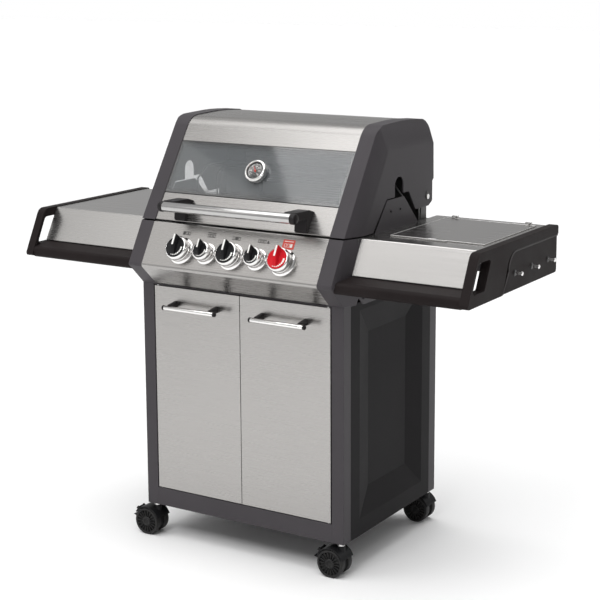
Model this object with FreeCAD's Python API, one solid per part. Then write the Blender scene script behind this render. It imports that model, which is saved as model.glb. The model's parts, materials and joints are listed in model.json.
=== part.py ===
"""Three-burner gas barbecue grill on a cabinet cart, modelled in millimetres.

X runs to the user's right, Y to the back and Z up. The floor is Z = 0, X = 0 is the
middle of the cabinet and Y = 0 is midway between the knob faces and the cabinet's back.
"""
import FreeCAD
import Part
import math
import os

V = FreeCAD.Vector

# ---------------------------------------------------------------- overall sizes
cabinet_width = 629.0       # outside of the corner posts
cabinet_depth = 507.0
cabinet_top = 717.0         # top of the posts above the floor
ground_clearance = 92.0     # underside of the cabinet above the floor
shelf_length = 346.0        # side shelf, from the body's side to the end cap's outside
body_flare = 22.0           # how far the body's side stands out past the posts
knob_overhang = 80.2        # how far the knobs stand out in front of the posts

# ---------------------------------------------------------------- cart
post_size = 35.5
post_wall = 2.0
plug_height = 22.0
bottom_rail_height = 50.0
rail_depth = 25.0
rail_wall = 2.0
top_rail_height = 33.0
top_lip = 2.5
top_lip_setback = 1.0
top_rail_setback = 22.0
sheet = 1.2
shelf_sheet = 1.5
floor_fold = 15.0
fold_r = 3.0
panel_border = 46.0         # flat border round the pan in a side panel
panel_top_border = 22.0
panel_bevel = 70.0
panel_recess = 15.0
rear_slot_width = 60.0
rear_slot_height = 8.0
rear_slot_rows = 5
rear_slot_lift = 50.0
rear_slot_rise = 20.0
rear_slot_pitch = 84.0

# ---------------------------------------------------------------- doors
door_thickness = 18.0
door_side_gap = 3.5
door_middle_gap = 2.0
door_top_gap = 5.0
door_bottom_gap = 2.5
door_pin_r = 3.0
door_pin_inset = 8.0
door_pin_setback = 5.0
door_pin_reach = 10.0
door_bush_height = 14.0
door_bush_wall = 2.0
door_handle_length = 172.0
door_handle_r = 6.5
door_handle_standoff = 36.0
door_handle_drop = 49.0     # handle axis below the door's top edge
door_handle_post = 9.0
door_handle_end = 20.0

# ---------------------------------------------------------------- front panel and body sides
panel_rise = 170.5          # top of the front panel above the posts
nose_forward = 63.0         # front panel's nose, in front of the posts
nose_rise = 60.0
nose_radius = 9.0
panel_flange = 18.0
band_width = 42.5           # dark band at each side of the front panel and lid
chamfer_run = 48.0          # how far behind the front the band's flare ends
cheek_wall = 3.0
wedge_reach = 400.0         # how far the bevelling wedges run past the edge they cut
bracket_height = 78.0       # spit bracket above the body's side
bracket_front = (120.0, 183.0)
bracket_rear = (274.0, 352.0)
bracket_corner = 6.0
bracket_screws = (202.0, 253.0)
bracket_screw_rise = 47.0
bracket_screw_r = 2.5
body_screws = (60.0, 165.0, 330.0)
body_screw_rise = 18.0
body_screw_r = 4.0
screw_head = 2.0

# ---------------------------------------------------------------- firebox and burners
firebox_setback = 5.5       # firebox front behind the front posts
firebox_back = 413.0
firebox_wall = 3.0
firebox_straight = 90.0
funnel_drop = 45.0
drain_width = 230.0
drain_depth = 80.0
drain_front = 200.0
rear_wall_rise = 110.0
grate_thickness = 11.0
grate_drop = 6.0
grate_bar = 6.0
grate_pitch = 17.0
grate_gap = 4.0
burner_r = 12.5
burner_wall = 1.5
burner_drop = 76.5          # burner axis below the deck
burner_mouth = 8.0          # how far the tubes stand out of the firebox
burner_foot = 30.0
port_count = 12
port_start = 60.0
port_pitch = 24.0
port_r = 1.5
ear_thickness = 5.0
tamer_width = 120.0
tamer_rise = 34.0
tamer_lift = 20.0
tamer_sheet = 1.95
tamer_slots = 6
tamer_slot_pitch = 56.0
tamer_slot_reach = 14.0
tamer_slot_width = 7.0
rear_burner_size = (380.0, 27.0, 66.0)
rear_burner_lift = 14.0
rear_burner_rim = 9.0
rack_wire_r = 2.5
rack_height = 118.0
rack_front = 278.0
rack_back = 372.0
rack_inset = 40.0
rack_wires = 9
rack_knee = 40.0

# ---------------------------------------------------------------- controls
knob_pitch = 79.0
knob_along = 53.0           # knob axis up the panel from the nose
knob_kinds = ("large", "small", "large", "small", "large")
knob_radius = {"large": 33.0, "small": 26.0}
knob_height = 14.0
knob_rest_gap = 18.5        # underside of a released knob above the panel
knob_push = 4.0
knob_edge_r = 3.0
knob_hollow = 11.0
knob_wall = 4.0
grip_heel = 0.70            # grip's ends and width as shares of the knob's radius
grip_tip = 0.95
grip_share = 0.30
grip_low = 39.5             # grip's height above the panel at the heel and at the tip
grip_top = 46.2
bezel_height = 14.0
bezel_lip = 4.0
bezel_wall = 6.0
stem_r = 4.0
running = 0.05              # radial clearance of a pin or shaft that turns
stem_hole_r = 8.0
stem_sunk = 20.0            # length of a stem inside its valve
valve_size = 26.0
valve_near = 8.0
valve_far = 52.0
manifold_r = 10.0
nozzle_r = 4.5
inlet_r = 6.6
inlet_length = 18.0
inlet_x = 205.0

# ---------------------------------------------------------------- lid
lid_seam = 4.0
lid_wall = 4.0
lid_angle = 32.9            # front of the lid from vertical
lid_height = 268.5          # crown above the lid's lower edge
lid_front_inset = 2.5
lid_back = 441.5            # back of the lid behind the post fronts
lid_back_low = 101.0        # lower edge of the rear skin above the lid's lower edge
crown_rise = 4.5            # crown's middle above the ends of its curve
crown_radius = 900.0
knee_radius = 62.0
back_radius = 32.0
lid_back_step = 7.5
top_flare_drop = 72.0
bracket_gap = 3.0
spit_slot_r = 23.0
spit_slot_rise = 28.0
spit_slot_offset = 18.0     # slot behind the middle of the bracket
skin_recess = 2.0
skin_sheet = 1.5
lid_fold = 12.0
window_low = 84.0           # along the lid's front
window_high = 238.0
glass_thickness = 4.0
glass_recess = 1.5
hinge_back = 404.0          # lid hinge axis behind the post fronts
hinge_rise = 56.0           # lid hinge axis above the lid's lower edge
hinge_pin_r = 4.0
thermometer_r = 32.0
thermometer_along = 160.0
thermometer_proud = 16.0
thermometer_body_r = 19.0
lid_handle_r = 14.0
lid_handle_length = 424.0
lid_handle_standoff = 75.0
lid_handle_along = 9.5
lid_bracket_width = 36.0
lid_bracket_inset = 6.0
lid_bracket_foot = 66.0

# ---------------------------------------------------------------- side shelves
shelf_drop = 0.0            # shelf top below the top of the front panel
shelf_front = 52.0          # front edge of the flat top behind the post fronts
shelf_back_gap = 41.0       # shelf's back edge in front of the cabinet's back
shelf_front_height = 88.0
shelf_front_foot = 2.0
shelf_fold = 15.0
cap_thickness = 24.0
cap_wall = 3.0
cap_drop = 124.0
cap_lip = 2.0
cap_front_foot = -60.0
cap_front_head = 3.0
cap_back_gap = 26.0
cap_nose_radius = 24.0
grip_bar = 11.0
grip_height = 72.0
grip_lift = 31.0
grip_width = 68.0
field_setback = 138.0       # recessed field behind the post fronts
field_border = 24.0
field_depth = 4.0
shelf_rail_front = -52.0
shelf_rail_height = 42.0
hook_r = 3.0
hook_head_r = 5.5
hook_head_length = 3.0
hook_reach = 18.0
hook_places = (217.0, 320.0, 423.0)
hook_drop = 81.0

# ---------------------------------------------------------------- side burner
cover_margin_in = 44.0      # cover's edge from the body's side
cover_margin_out = 17.0     # from the end cap
cover_margin_front = 67.0   # from the shelf top's front edge
cover_margin_back = 35.0
cover_sheet = 2.0
cover_rim = 10.0
cover_lap = 5.0
cover_lift = 0.5
cover_hinge_r = 2.5
cover_ear = 3.0
cover_lug_width = 9.0
cover_lug_gap = 1.0
well_gap = 3.0
well_depth = 40.0
side_burner_r = 42.0
side_burner_base = 12.0
pan_ring_r = 26.0
pan_bar_offset = 62.0
pan_support_bar = 6.0

# ---------------------------------------------------------------- grease tray
tray_width = 260.0
tray_front = 180.0
tray_height = 26.0
tray_wall = 1.2
tray_lip = 7.0
tray_gap = 0.5
tray_back_gap = 8.0
runner_width = 8.0

# ---------------------------------------------------------------- castors
wheel_r = 37.5
wheel_width = 19.0
web_width = 16.0
wheel_gap = 1.0
castor_trail = 20.0
castor_stem_r = 4.5
castor_nut_r = 10.0
castor_nut_height = 8.0
axle_r = 4.0
canopy_gap = 2.0
canopy_wall = 3.0
canopy_span = (20.0, 148.0)
tread_edge_r = 3.5
wheel_dish = 3.0
wheel_hub_r = 9.0
lever_angle = 144.0         # lever pin round the wheel, from +X up
lever_slope = 70.0
lever_width = 20.0
lever_length = 26.0
lever_thickness = 3.5
lever_pin_r = 2.0
lever_gap = 0.4
lever_ear = 4.0

# ---------------------------------------------------------------- door catches
magnet_inset = 6.0
magnet_size = (20.0, 14.0)
magnet_drop = 14.0

# ---------------------------------------------------------------- places worked out from the sizes
half = cabinet_width / 2
front = -(cabinet_depth - knob_overhang) / 2
back = front + cabinet_depth
body_half = half + body_flare
inner_half = half - post_size
band_inner = half - band_width
deck = cabinet_top + panel_rise
lid_z = deck + lid_seam
shelf_top = deck - shelf_drop
shelf_end = body_half + shelf_length
cap_inner = shelf_end - cap_thickness
firebox_half = body_half - cheek_wall
firebox_front = post_size + firebox_setback
rail_top = ground_clearance + bottom_rail_height
panel_tilt = math.atan2(nose_forward, panel_rise - nose_rise)
panel_along = V(0, math.sin(panel_tilt), math.cos(panel_tilt))
panel_out = V(0, -math.cos(panel_tilt), math.sin(panel_tilt))
nose = V(0, front - nose_forward, cabinet_top + nose_rise)
lid_along = V(0, math.sin(math.radians(lid_angle)), math.cos(math.radians(lid_angle)))
lid_out = V(0, -lid_along.z, lid_along.y)
lid_foot = V(0, front + lid_front_inset, lid_z)
lid_hinge = V(0, front + hinge_back, lid_z + hinge_rise)
knob_x = [(k - (len(knob_kinds) - 1) / 2) * knob_pitch for k in range(len(knob_kinds))]
well_floor = shelf_top - well_depth


# ---------------------------------------------------------------- helpers
def box(x0, x1, y0, y1, z0, z1):
    """Block between two corners given as coordinate pairs."""
    return Part.makeBox(x1 - x0, y1 - y0, z1 - z0, V(x0, y0, z0))


def rod(a, b, r):
    """Round bar of radius r between two points."""
    return Part.makeCylinder(r, (b - a).Length, a, b - a)


def upright(place, z0, z1, r):
    """Upright round bar at a place, between two heights."""
    return rod(V(place.x, place.y, z0), V(place.x, place.y, z1), r)


def across(place, x0, x1, r):
    """Round bar along X through a place in the side view."""
    return rod(V(x0, place.y, place.z), V(x1, place.y, place.z), r)


def polygon(corners):
    """Flat face between corner points."""
    return Part.Face(Part.makePolygon(corners + [corners[0]]))


def fuse(shapes):
    """One solid from touching or overlapping shapes."""
    shapes = list(shapes)
    return shapes[0].multiFuse(shapes[1:]).removeSplitter()


def group(shapes):
    """Separate solids kept together as one shape."""
    return Part.makeCompound([s for shape in shapes for s in shape.Solids])


def mirrored(shape):
    """The same piece on the other side of the middle plane."""
    return shape.mirror(V(0, 0, 0), V(1, 0, 0))


def corner_cut(before, corner, after, radius):
    """Tangent points and mid point of the arc that rounds one corner."""
    to_before = (before - corner).normalize()
    to_after = (after - corner).normalize()
    half_turn = to_before.getAngle(to_after) / 2
    setback = radius / math.tan(half_turn)
    start = corner + to_before * setback
    end = corner + to_after * setback
    bisector = (to_before + to_after).normalize()
    middle = corner + bisector * (radius / math.sin(half_turn) - radius)
    return start, middle, end


def outline(points):
    """Closed wire through points (V, radius), each corner rounded by its radius."""
    edges = []
    ends = []
    count = len(points)
    for i, (corner, radius) in enumerate(points):
        if radius > 0:
            before = points[i - 1][0]
            after = points[(i + 1) % count][0]
            ends.append(corner_cut(before, corner, after, radius))
        else:
            ends.append((corner, None, corner))
    for i, (start, middle, end) in enumerate(ends):
        if middle is not None:
            edges.append(Part.Arc(start, middle, end).toShape())
        following = ends[(i + 1) % count][0]
        if (following - end).Length > 1e-6:
            edges.append(Part.LineSegment(end, following).toShape())
    return Part.Wire(edges)


def side_plate(points, x0, x1):
    """Prism along X of an outline given as (y, z) or (y, z, radius)."""
    corners = [(V(x0, p[0], p[1]), p[2] if len(p) > 2 else 0) for p in points]
    return Part.Face(outline(corners)).extrude(V(x1 - x0, 0, 0))


def flat_plate(points, z0, z1):
    """Prism along Z of an outline given as (x, y) or (x, y, radius)."""
    corners = [(V(p[0], p[1], z0), p[2] if len(p) > 2 else 0) for p in points]
    return Part.Face(outline(corners)).extrude(V(0, 0, z1 - z0))


def offset_path(path, distance):
    """Open path of (y, z, radius) moved sideways, to the left of its direction."""
    moved = []
    last = len(path) - 1
    for i, (y, z, *rounding) in enumerate(path):
        radius = rounding[0] if rounding else 0
        here = V(0, y, z)
        before = here - V(0, path[i - 1][0], path[i - 1][1]) if i > 0 else None
        after = V(0, path[i + 1][0], path[i + 1][1]) - here if i < last else None
        before = (before or after).normalize()
        after = (after or before).normalize()
        left_before = V(0, -before.z, before.y)
        left_after = V(0, -after.z, after.y)
        bisector = (left_before + left_after).normalize()
        step = distance / bisector.dot(left_before)
        turns_left = before.cross(after).x > 0
        new_radius = radius - distance if turns_left else radius + distance
        new_radius = max(new_radius, 0) if radius else 0
        moved.append((y + bisector.y * step, z + bisector.z * step, new_radius))
    return moved


def folded_sheet(path, thickness, x0, x1):
    """Sheet that follows an open path of (y, z, radius), its thickness to the left."""
    return side_plate(path + offset_path(path, thickness)[::-1], x0, x1)


def loft(lower, upper):
    """Solid between two rectangles given as lists of corner points."""
    wires = [Part.makePolygon(corners + [corners[0]]) for corners in (lower, upper)]
    return Part.makeLoft(wires, True, True)


def rectangle(x0, x1, y0, y1, z):
    """Corner points of a level rectangle."""
    return [V(x0, y0, z), V(x1, y0, z), V(x1, y1, z), V(x0, y1, z)]


def tube(x0, x1, y0, y1, z0, z1, wall, along):
    """Rectangular tube open at both ends along one axis."""
    grow = {"x": (1, 0, 0), "y": (0, 1, 0), "z": (0, 0, 1)}[along]
    gx, gy, gz = [1 if g else -wall for g in grow]
    return box(x0, x1, y0, y1, z0, z1).cut(
        box(x0 - gx, x1 + gx, y0 - gy, y1 + gy, z0 - gz, z1 + gz)
    )


def at_knob(k, out):
    """Point on a knob's axis, a given height above the front panel."""
    return nose + panel_along * knob_along + panel_out * out + V(knob_x[k], 0, 0)


def on_lid(x, along, out):
    """Point measured up the lid's front and out from it."""
    return lid_foot + lid_along * along + lid_out * out + V(x, 0, 0)


# ---------------------------------------------------------------- cart frame
def post(x0, y0):
    """Square tube corner post with a plug in its foot for the castor stem."""
    x1 = x0 + post_size
    y1 = y0 + post_size
    shell = tube(x0, x1, y0, y1, ground_clearance, cabinet_top, post_wall, "z")
    plug = box(x0 + post_wall, x1 - post_wall, y0 + post_wall, y1 - post_wall,
               ground_clearance, ground_clearance + plug_height)
    centre = V(x0 + post_size / 2, y0 + post_size / 2, 0)
    stem_hole = rod(centre, centre + V(0, 0, cabinet_top / 2), castor_stem_r)
    return fuse([shell, plug.cut(stem_hole)])


def posts():
    corners = [(x, y) for x in (-half, inner_half) for y in (front, back - post_size)]
    return group(post(x, y) for x, y in corners)


def post_centres():
    """Castor stem axes, named by corner."""
    x = half - post_size / 2
    y_front = front + post_size / 2
    y_back = back - post_size / 2
    return {
        "front_left": V(-x, y_front, 0),
        "front_right": V(x, y_front, 0),
        "rear_left": V(-x, y_back, 0),
        "rear_right": V(x, y_back, 0),
    }


def cross_rail(y0, heights):
    """Square tube across the cabinet between two posts."""
    return tube(-inner_half, inner_half, y0, y0 + rail_depth, *heights, rail_wall, "x")


def cross_rails():
    """Rails between the posts and the two runners that carry the grease tray."""
    low = (ground_clearance, rail_top)
    high = (cabinet_top - top_rail_height, cabinet_top)
    setback = front + top_rail_setback
    front_low = cross_rail(front, low)
    front_high = cross_rail(setback, high)
    lip = box(-inner_half, inner_half, front + top_lip_setback, setback, cabinet_top - top_lip, cabinet_top)
    for side in (-1, 1):
        pin = door_pin_axis(side)
        front_low = front_low.cut(upright(pin, rail_top - rail_wall, rail_top, door_pin_r))
        lip = lip.cut(upright(pin, cabinet_top - top_lip, cabinet_top, door_pin_r))
    inside = tray_width / 2 + tray_gap
    runner_top = tray_rim_z() - tray_wall - tray_gap
    runners = [
        box(x, x + runner_width, setback, back, cabinet_top, runner_top)
        for x in (inside, -inside - runner_width)
    ]
    rear = [cross_rail(back - rail_depth, heights) for heights in (low, high)]
    return group([front_low, fuse([front_high, lip])] + rear + runners)


def bottom_shelf():
    """Floor of the cabinet, a sheet with folded front and rear edges."""
    y0 = front + rail_depth
    y1 = back - rail_depth
    low = rail_top - floor_fold
    plate = folded_sheet([(y1, low), (y1, rail_top, fold_r), (y0, rail_top, fold_r), (y0, low)],
                         shelf_sheet, -half + sheet, half - sheet)
    for x in (-half, inner_half):
        for y in (front, back - post_size):
            plate = plate.cut(box(x, x + post_size, y, y + post_size, 0, cabinet_top))
    pan_clear = box(half - panel_recess - 2 * sheet, half, y0 - 1, y1 + 1, 0, cabinet_top)
    return plate.cut(pan_clear).cut(mirrored(pan_clear))


def side_panel():
    """Right side of the cabinet, a sheet with a wide shallow pan pressed inwards."""
    y0, y1 = front + post_size, back - post_size
    z0, z1 = ground_clearance, cabinet_top
    plate = box(half - sheet, half, y0, y1, z0, z1)

    def frame(inset, x):
        high = z1 - inset + panel_border - panel_top_border
        return [V(x, y0 + inset, z0 + inset), V(x, y1 - inset, z0 + inset),
                V(x, y1 - inset, high), V(x, y0 + inset, high)]

    mouth = frame(panel_border, half)
    pan = loft(mouth, frame(panel_border + panel_bevel, half - panel_recess))
    behind = pan.translated(V(-sheet, 0, 0))
    return fuse([plate, behind]).cut(pan).cut(polygon(mouth).extrude(V(1, 0, 0)))


def side_panels():
    return group([side_panel(), mirrored(side_panel())])


def rear_panel():
    """Cabinet's back, with ventilation slots low down and a free space for the hose above."""
    panel = box(-inner_half, inner_half, back - sheet, back, rail_top, cabinet_top - top_rail_height)
    reach = rear_slot_width / 2
    for row in range(rear_slot_rows):
        z = rail_top + rear_slot_lift + row * rear_slot_rise
        for column in (-2, -1, 0, 1, 2):
            x = column * rear_slot_pitch
            panel = panel.cut(box(x - reach, x + reach, back - 2 * sheet, back + sheet,
                                  z, z + rear_slot_height))
    return panel


# ---------------------------------------------------------------- doors
def door_pin_axis(side):
    """Foot of a door's hinge axis on the floor; side is -1 for left, 1 for right."""
    x = inner_half - door_side_gap - door_pin_inset
    return V(side * x, front + door_pin_setback, 0)


def door_low():
    return rail_top + door_bottom_gap


def door_high():
    return cabinet_top - door_top_gap


def right_door():
    """Stainless door, a shallow pan open to the back, with a hinge bush at top and bottom."""
    x0 = door_middle_gap / 2
    x1 = inner_half - door_side_gap
    y0, y1 = front, front + door_thickness
    z0, z1 = door_low(), door_high()
    shell = box(x0, x1, y0, y1, z0, z1)
    hollow = box(x0 + sheet, x1 - sheet, y0 + sheet, y1 + 1, z0 + sheet, z1 - sheet)
    bush_depth = 2 * door_pin_setback + door_bush_wall
    bushes = [
        box(x1 - 2 * door_pin_inset, x1, y0, y0 + bush_depth, z, z + door_bush_height)
        for z in (z0, z1 - door_bush_height)
    ]
    door = fuse([shell.cut(hollow)] + bushes)
    axis = door_pin_axis(1)
    bore = door_pin_reach + door_bush_wall
    for low, high in ((z0 - 1, z0 + bore), (z1 - bore, z1 + 1)):
        door = door.cut(upright(axis, low, high, door_pin_r + running))
    return door


def door_handle_middle():
    """Middle of the right door's handle bar."""
    x = (door_middle_gap / 2 + inner_half - door_side_gap) / 2
    return V(x, front - door_handle_standoff, door_high() - door_handle_drop)


def door_handle_bar():
    middle = door_handle_middle()
    reach = V(door_handle_length / 2, 0, 0)
    return rod(middle - reach, middle + reach, door_handle_r)


def door_handle_posts():
    """Two angled standoffs that hold the bar off the door."""
    middle = door_handle_middle()
    bar = door_handle_bar()
    made = []
    for side in (-1, 1):
        x = middle.x + side * (door_handle_length / 2 - door_handle_end)
        standoff = side_plate([
            (front, middle.z + 13, 2), (middle.y, middle.z + 8, 5),
            (middle.y, middle.z - 2, 2), (front, middle.z - 3, 2)],
            x - door_handle_post / 2, x + door_handle_post / 2)
        made.append(standoff.cut(bar))
    return group(made)


# ---------------------------------------------------------------- body sides and front panel
def panel_profile():
    """Outside of the front panel from its top flange round the nose to the posts."""
    y_top = front + 0.4
    return [(y_top, deck), (nose.y, nose.z, nose_radius), (front, cabinet_top)]


def control_panel():
    """Folded stainless front panel with a hole for each valve stem."""
    top, bend, low = panel_profile()
    path = [(top[0] + panel_flange, deck), (top[0], deck, 2), bend, (low[0], low[1] + sheet, 2),
            (low[0] + panel_flange, low[1] + sheet)]
    panel = folded_sheet(path, sheet, -band_inner, band_inner)
    for k in range(len(knob_kinds)):
        panel = panel.cut(rod(at_knob(k, -6), at_knob(k, 6), stem_hole_r))
    return panel


def flare_cut(points, offset):
    """Wedge that bevels a body side from the band's edge back to the full width."""
    angle = math.atan2(body_flare, chamfer_run)
    (y0, z0), (y1, z1) = points
    line = V(0, y1 - y0, z1 - z0)
    along = V(line).normalize()
    inward = V(0, along.z, -along.y)
    slope = V(math.sin(angle), 0, 0) + inward * math.cos(angle)
    outward = V(math.cos(angle), 0, 0) - inward * math.sin(angle)
    start = V(half, y0, z0) - along * wedge_reach - outward * offset - slope * 60
    corners = [start, start + slope * 260, start + slope * 260 + outward * 120, start + outward * 120]
    return polygon(corners).extrude(along * (line.Length + 2 * wedge_reach))


def cheek_outline(inset):
    """Side view of the body below the lid, as (y, z, radius)."""
    top, bend, low = panel_profile()
    y_back = front + firebox_back
    path = [(top[0], deck), (bend[0], bend[1], nose_radius), (low[0], low[1])]
    if inset:
        path = offset_path(path, inset)
        path[0] = (path[0][0], deck + 1, 0)
        path[2] = (path[2][0], cabinet_top + inset, 0)
        return path + [(y_back - inset, cabinet_top + inset), (y_back - inset, deck + 1)]
    return path + [(y_back, cabinet_top), (y_back, deck)]


def bevelled_side(points, flares, x0, inset):
    """Prism of a side outline whose outer edge is bevelled along the given front lines."""
    solid = side_plate(points, x0, body_half - inset)
    for line in flares:
        solid = solid.cut(flare_cut(line, inset))
    return solid


def cheek_block():
    """Outside of the body's right side as a full solid: front band, bevel and side."""
    top, bend, low = [point[:2] for point in panel_profile()]
    return bevelled_side(cheek_outline(0), [(bend, top), (low, bend)], band_inner, 0)


def cheek():
    """Right side of the body as a shell, with the spit bracket on its top."""
    top, bend, low = [point[:2] for point in panel_profile()]
    inner = bevelled_side(cheek_outline(cheek_wall), [(bend, top), (low, bend)],
                          band_inner - 1, cheek_wall)
    open_back = box(band_inner - 1, body_half - cheek_wall, front + firebox_front, back,
                    cabinet_top - 1, deck + 1)
    shell = cheek_block().cut(inner).cut(open_back)
    y0, y1 = [front + d for d in bracket_front]
    y2, y3 = [front + d for d in bracket_rear]
    z1 = deck + bracket_height
    bracket = side_plate([(y0, deck), (y1, z1, bracket_corner), (y2, z1, bracket_corner), (y3, deck)],
                         body_half - cheek_wall, body_half)
    return fuse([shell, bracket])


def body_cheeks():
    return group([cheek(), mirrored(cheek())])


def knob_bezels():
    """Fixed chrome ring on the panel round each valve stem."""
    made = []
    for k, kind in enumerate(knob_kinds):
        r = knob_radius[kind]
        ring = Part.makeCone(r + bezel_lip, r - 1, bezel_height, at_knob(k, 0), panel_out)
        made.append(ring.cut(rod(at_knob(k, -1), at_knob(k, bezel_height + 1), r - bezel_wall)))
    return group(made)


def knob_grip(k):
    """Blade across a knob's cap, tall at the pointer end and low at the heel."""
    r = knob_radius[knob_kinds[k]]
    foot = knob_rest_gap + knob_height - 2
    heel, tip = -grip_heel * r, grip_tip * r
    profile = [(heel, foot), (tip - 4, foot), (tip, grip_top - 2.2), (tip - 1.4, grip_top),
               (0, grip_top - 1), (heel + 6, grip_low)]
    width = r * grip_share
    start = at_knob(k, 0) - V(width / 2, 0, 0)
    corners = [start + panel_along * along + panel_out * out for along, out in profile]
    return polygon(corners).extrude(V(width, 0, 0))


def knob(k):
    """Cap with a raised grip across it, hollow below and bored for its stem."""
    r = knob_radius[knob_kinds[k]]
    top = knob_rest_gap + knob_height
    cap = rod(at_knob(k, knob_rest_gap), at_knob(k, top), r)
    crown = [e for e in cap.Edges if abs((e.CenterOfMass - at_knob(k, top)).dot(panel_out)) < 0.1]
    cap = cap.makeFillet(knob_edge_r, crown)
    hub_space = rod(at_knob(k, knob_rest_gap - 1), at_knob(k, knob_rest_gap + knob_hollow), r - knob_wall)
    hub = rod(at_knob(k, knob_rest_gap), at_knob(k, knob_rest_gap + knob_hollow + 1), stem_r + 5)
    bore = rod(at_knob(k, knob_rest_gap - 1), at_knob(k, top), stem_r + running)
    return fuse([cap.cut(hub_space), hub, knob_grip(k)]).cut(bore)


def valve_stem(k):
    """Shaft that the knob turns, long enough to stay in the valve when it's pushed in."""
    return rod(at_knob(k, -valve_near - stem_sunk), at_knob(k, knob_rest_gap + knob_height - 1), stem_r)


def valve_body(k):
    """Square valve block from just behind the front panel to the supply pipe."""
    near, far = at_knob(k, -valve_near), at_knob(k, -valve_far)
    across, along = V(valve_size, 0, 0), panel_along * valve_size
    start = far - (across + along) * 0.5
    return polygon([start, start + across, start + across + along, start + along]).extrude(near - far)


def gas_manifold():
    """Supply pipe, the gas valves on it, their nozzles and the gas inlet."""
    centre = at_knob(0, -valve_far)
    left, right = [V(x, centre.y, centre.z) for x in (knob_x[0] - 40, knob_x[-1] + 60)]
    pieces = [rod(left, right, manifold_r)]
    nozzle_z = deck - burner_drop
    for k, kind in enumerate(knob_kinds):
        pieces.append(valve_body(k))
        if kind == "large":
            pieces.append(rod(V(knob_x[k], centre.y - 4, nozzle_z),
                              V(knob_x[k], front + firebox_front - 12, nozzle_z), nozzle_r))
    inlet = V(inlet_x, centre.y, centre.z)
    collar_z = centre.z - manifold_r - 8
    pieces.append(upright(inlet, collar_z, centre.z, inlet_r + 2.4))
    pieces.append(upright(inlet, collar_z - inlet_length, centre.z, inlet_r))
    solid = fuse(pieces)
    for k in range(len(knob_kinds)):
        depth = valve_near + stem_sunk + knob_push + 2
        solid = solid.cut(rod(at_knob(k, -depth), at_knob(k, 0), stem_r + running))
    return solid


# ---------------------------------------------------------------- firebox
def firebox_plan(inset, z):
    return rectangle(-firebox_half + inset, firebox_half - inset, front + firebox_front + inset,
                     front + firebox_back - inset, z)


def drain_plan(grow, z):
    return rectangle(-drain_width / 2 - grow, drain_width / 2 + grow,
                     front + drain_front - grow, front + drain_front + drain_depth + grow, z)


def hinge_ears():
    """Plates at the firebox's rear corners that carry the lid's hinge pins."""
    outer_x = firebox_half - lid_wall
    y = lid_hinge.y
    y1 = front + firebox_back
    z0, z1 = deck - grate_drop + 1, lid_hinge.z + 14
    plate = side_plate([(y - 26, z0), (y - 14, z1, 12), (y1, z1), (y1, z0)],
                       outer_x - ear_thickness, outer_x)
    return [plate, mirrored(plate)]


def firebox():
    """Open box with a funnel floor, a raised rear wall, and holes for the burner tubes."""
    mid = deck - firebox_straight
    low = mid - funnel_drop
    w = firebox_wall
    y0, y1 = front + firebox_front, front + firebox_back
    upper = box(-firebox_half, firebox_half, y0, y1, mid, deck)
    upper = upper.cut(box(-firebox_half + w, firebox_half - w, y0 + w, y1 - w, mid - 1, deck + 1))
    funnel = loft(firebox_plan(0, mid), drain_plan(w, low))
    hollow = loft(firebox_plan(w, mid), drain_plan(0, low))
    rear_half = firebox_half - lid_wall
    rear = box(-rear_half, rear_half, y1 - w, y1, deck - 1, deck + rear_wall_rise)
    solid = fuse([upper, funnel.cut(hollow), rear] + hinge_ears())
    burner_z = deck - burner_drop
    for x in burner_x():
        solid = solid.cut(rod(V(x, y0 - 1, burner_z), V(x, y0 + w + 1, burner_z), burner_r))
    return solid.cut(hinge_pin(1)).cut(hinge_pin(-1))


def burner_x():
    return [knob_x[k] for k, kind in enumerate(knob_kinds) if kind == "large"]


def main_burners():
    """Tube burners, each with a bore, a closed back end and a row of flame ports."""
    made = []
    z = deck - burner_drop
    y0 = front + firebox_front - burner_mouth
    y1 = front + firebox_back - burner_foot
    for x in burner_x():
        tube_end = V(x, y1, z)
        bore = rod(V(x, y0 - 1, z), V(x, y1 - burner_wall, z), burner_r - burner_wall)
        foot = box(x - 6, x + 6, y1 - 10, front + firebox_back - firebox_wall, z - 4, z - 1)
        burner = fuse([rod(V(x, y0, z), tube_end, burner_r), foot]).cut(bore)
        for step in range(port_count):
            y = y0 + port_start + step * port_pitch
            burner = burner.cut(rod(V(x - burner_r - 1, y, z), V(x + burner_r + 1, y, z), port_r))
        made.append(burner)
    return group(made)


def flame_tamers():
    """Roof-shaped steel covers over the burners, with slots along both slopes."""
    made = []
    peak = deck - burner_drop + burner_r + tamer_lift + tamer_rise / 2
    eave = peak - tamer_rise
    y0 = front + firebox_front + firebox_wall
    y1 = front + firebox_back - firebox_wall
    drop = V(0, 0, -tamer_sheet)
    for x in burner_x():
        left = V(x - tamer_width / 2, y0, eave)
        right = V(x + tamer_width / 2, y0, eave)
        top = V(x, y0, peak)
        roof = polygon([left, top, right, right + drop, top + drop, left + drop])
        roof = roof.extrude(V(0, y1 - y0, 0))
        for step in range(tamer_slots):
            y = y0 + 40 + step * tamer_slot_pitch
            for side in (-1, 1):
                middle = x + side * tamer_width / 4
                roof = roof.cut(box(middle - tamer_slot_reach, middle + tamer_slot_reach,
                                    y, y + tamer_slot_width, eave - tamer_rise, peak))
        made.append(roof)
    return group(made)


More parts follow.
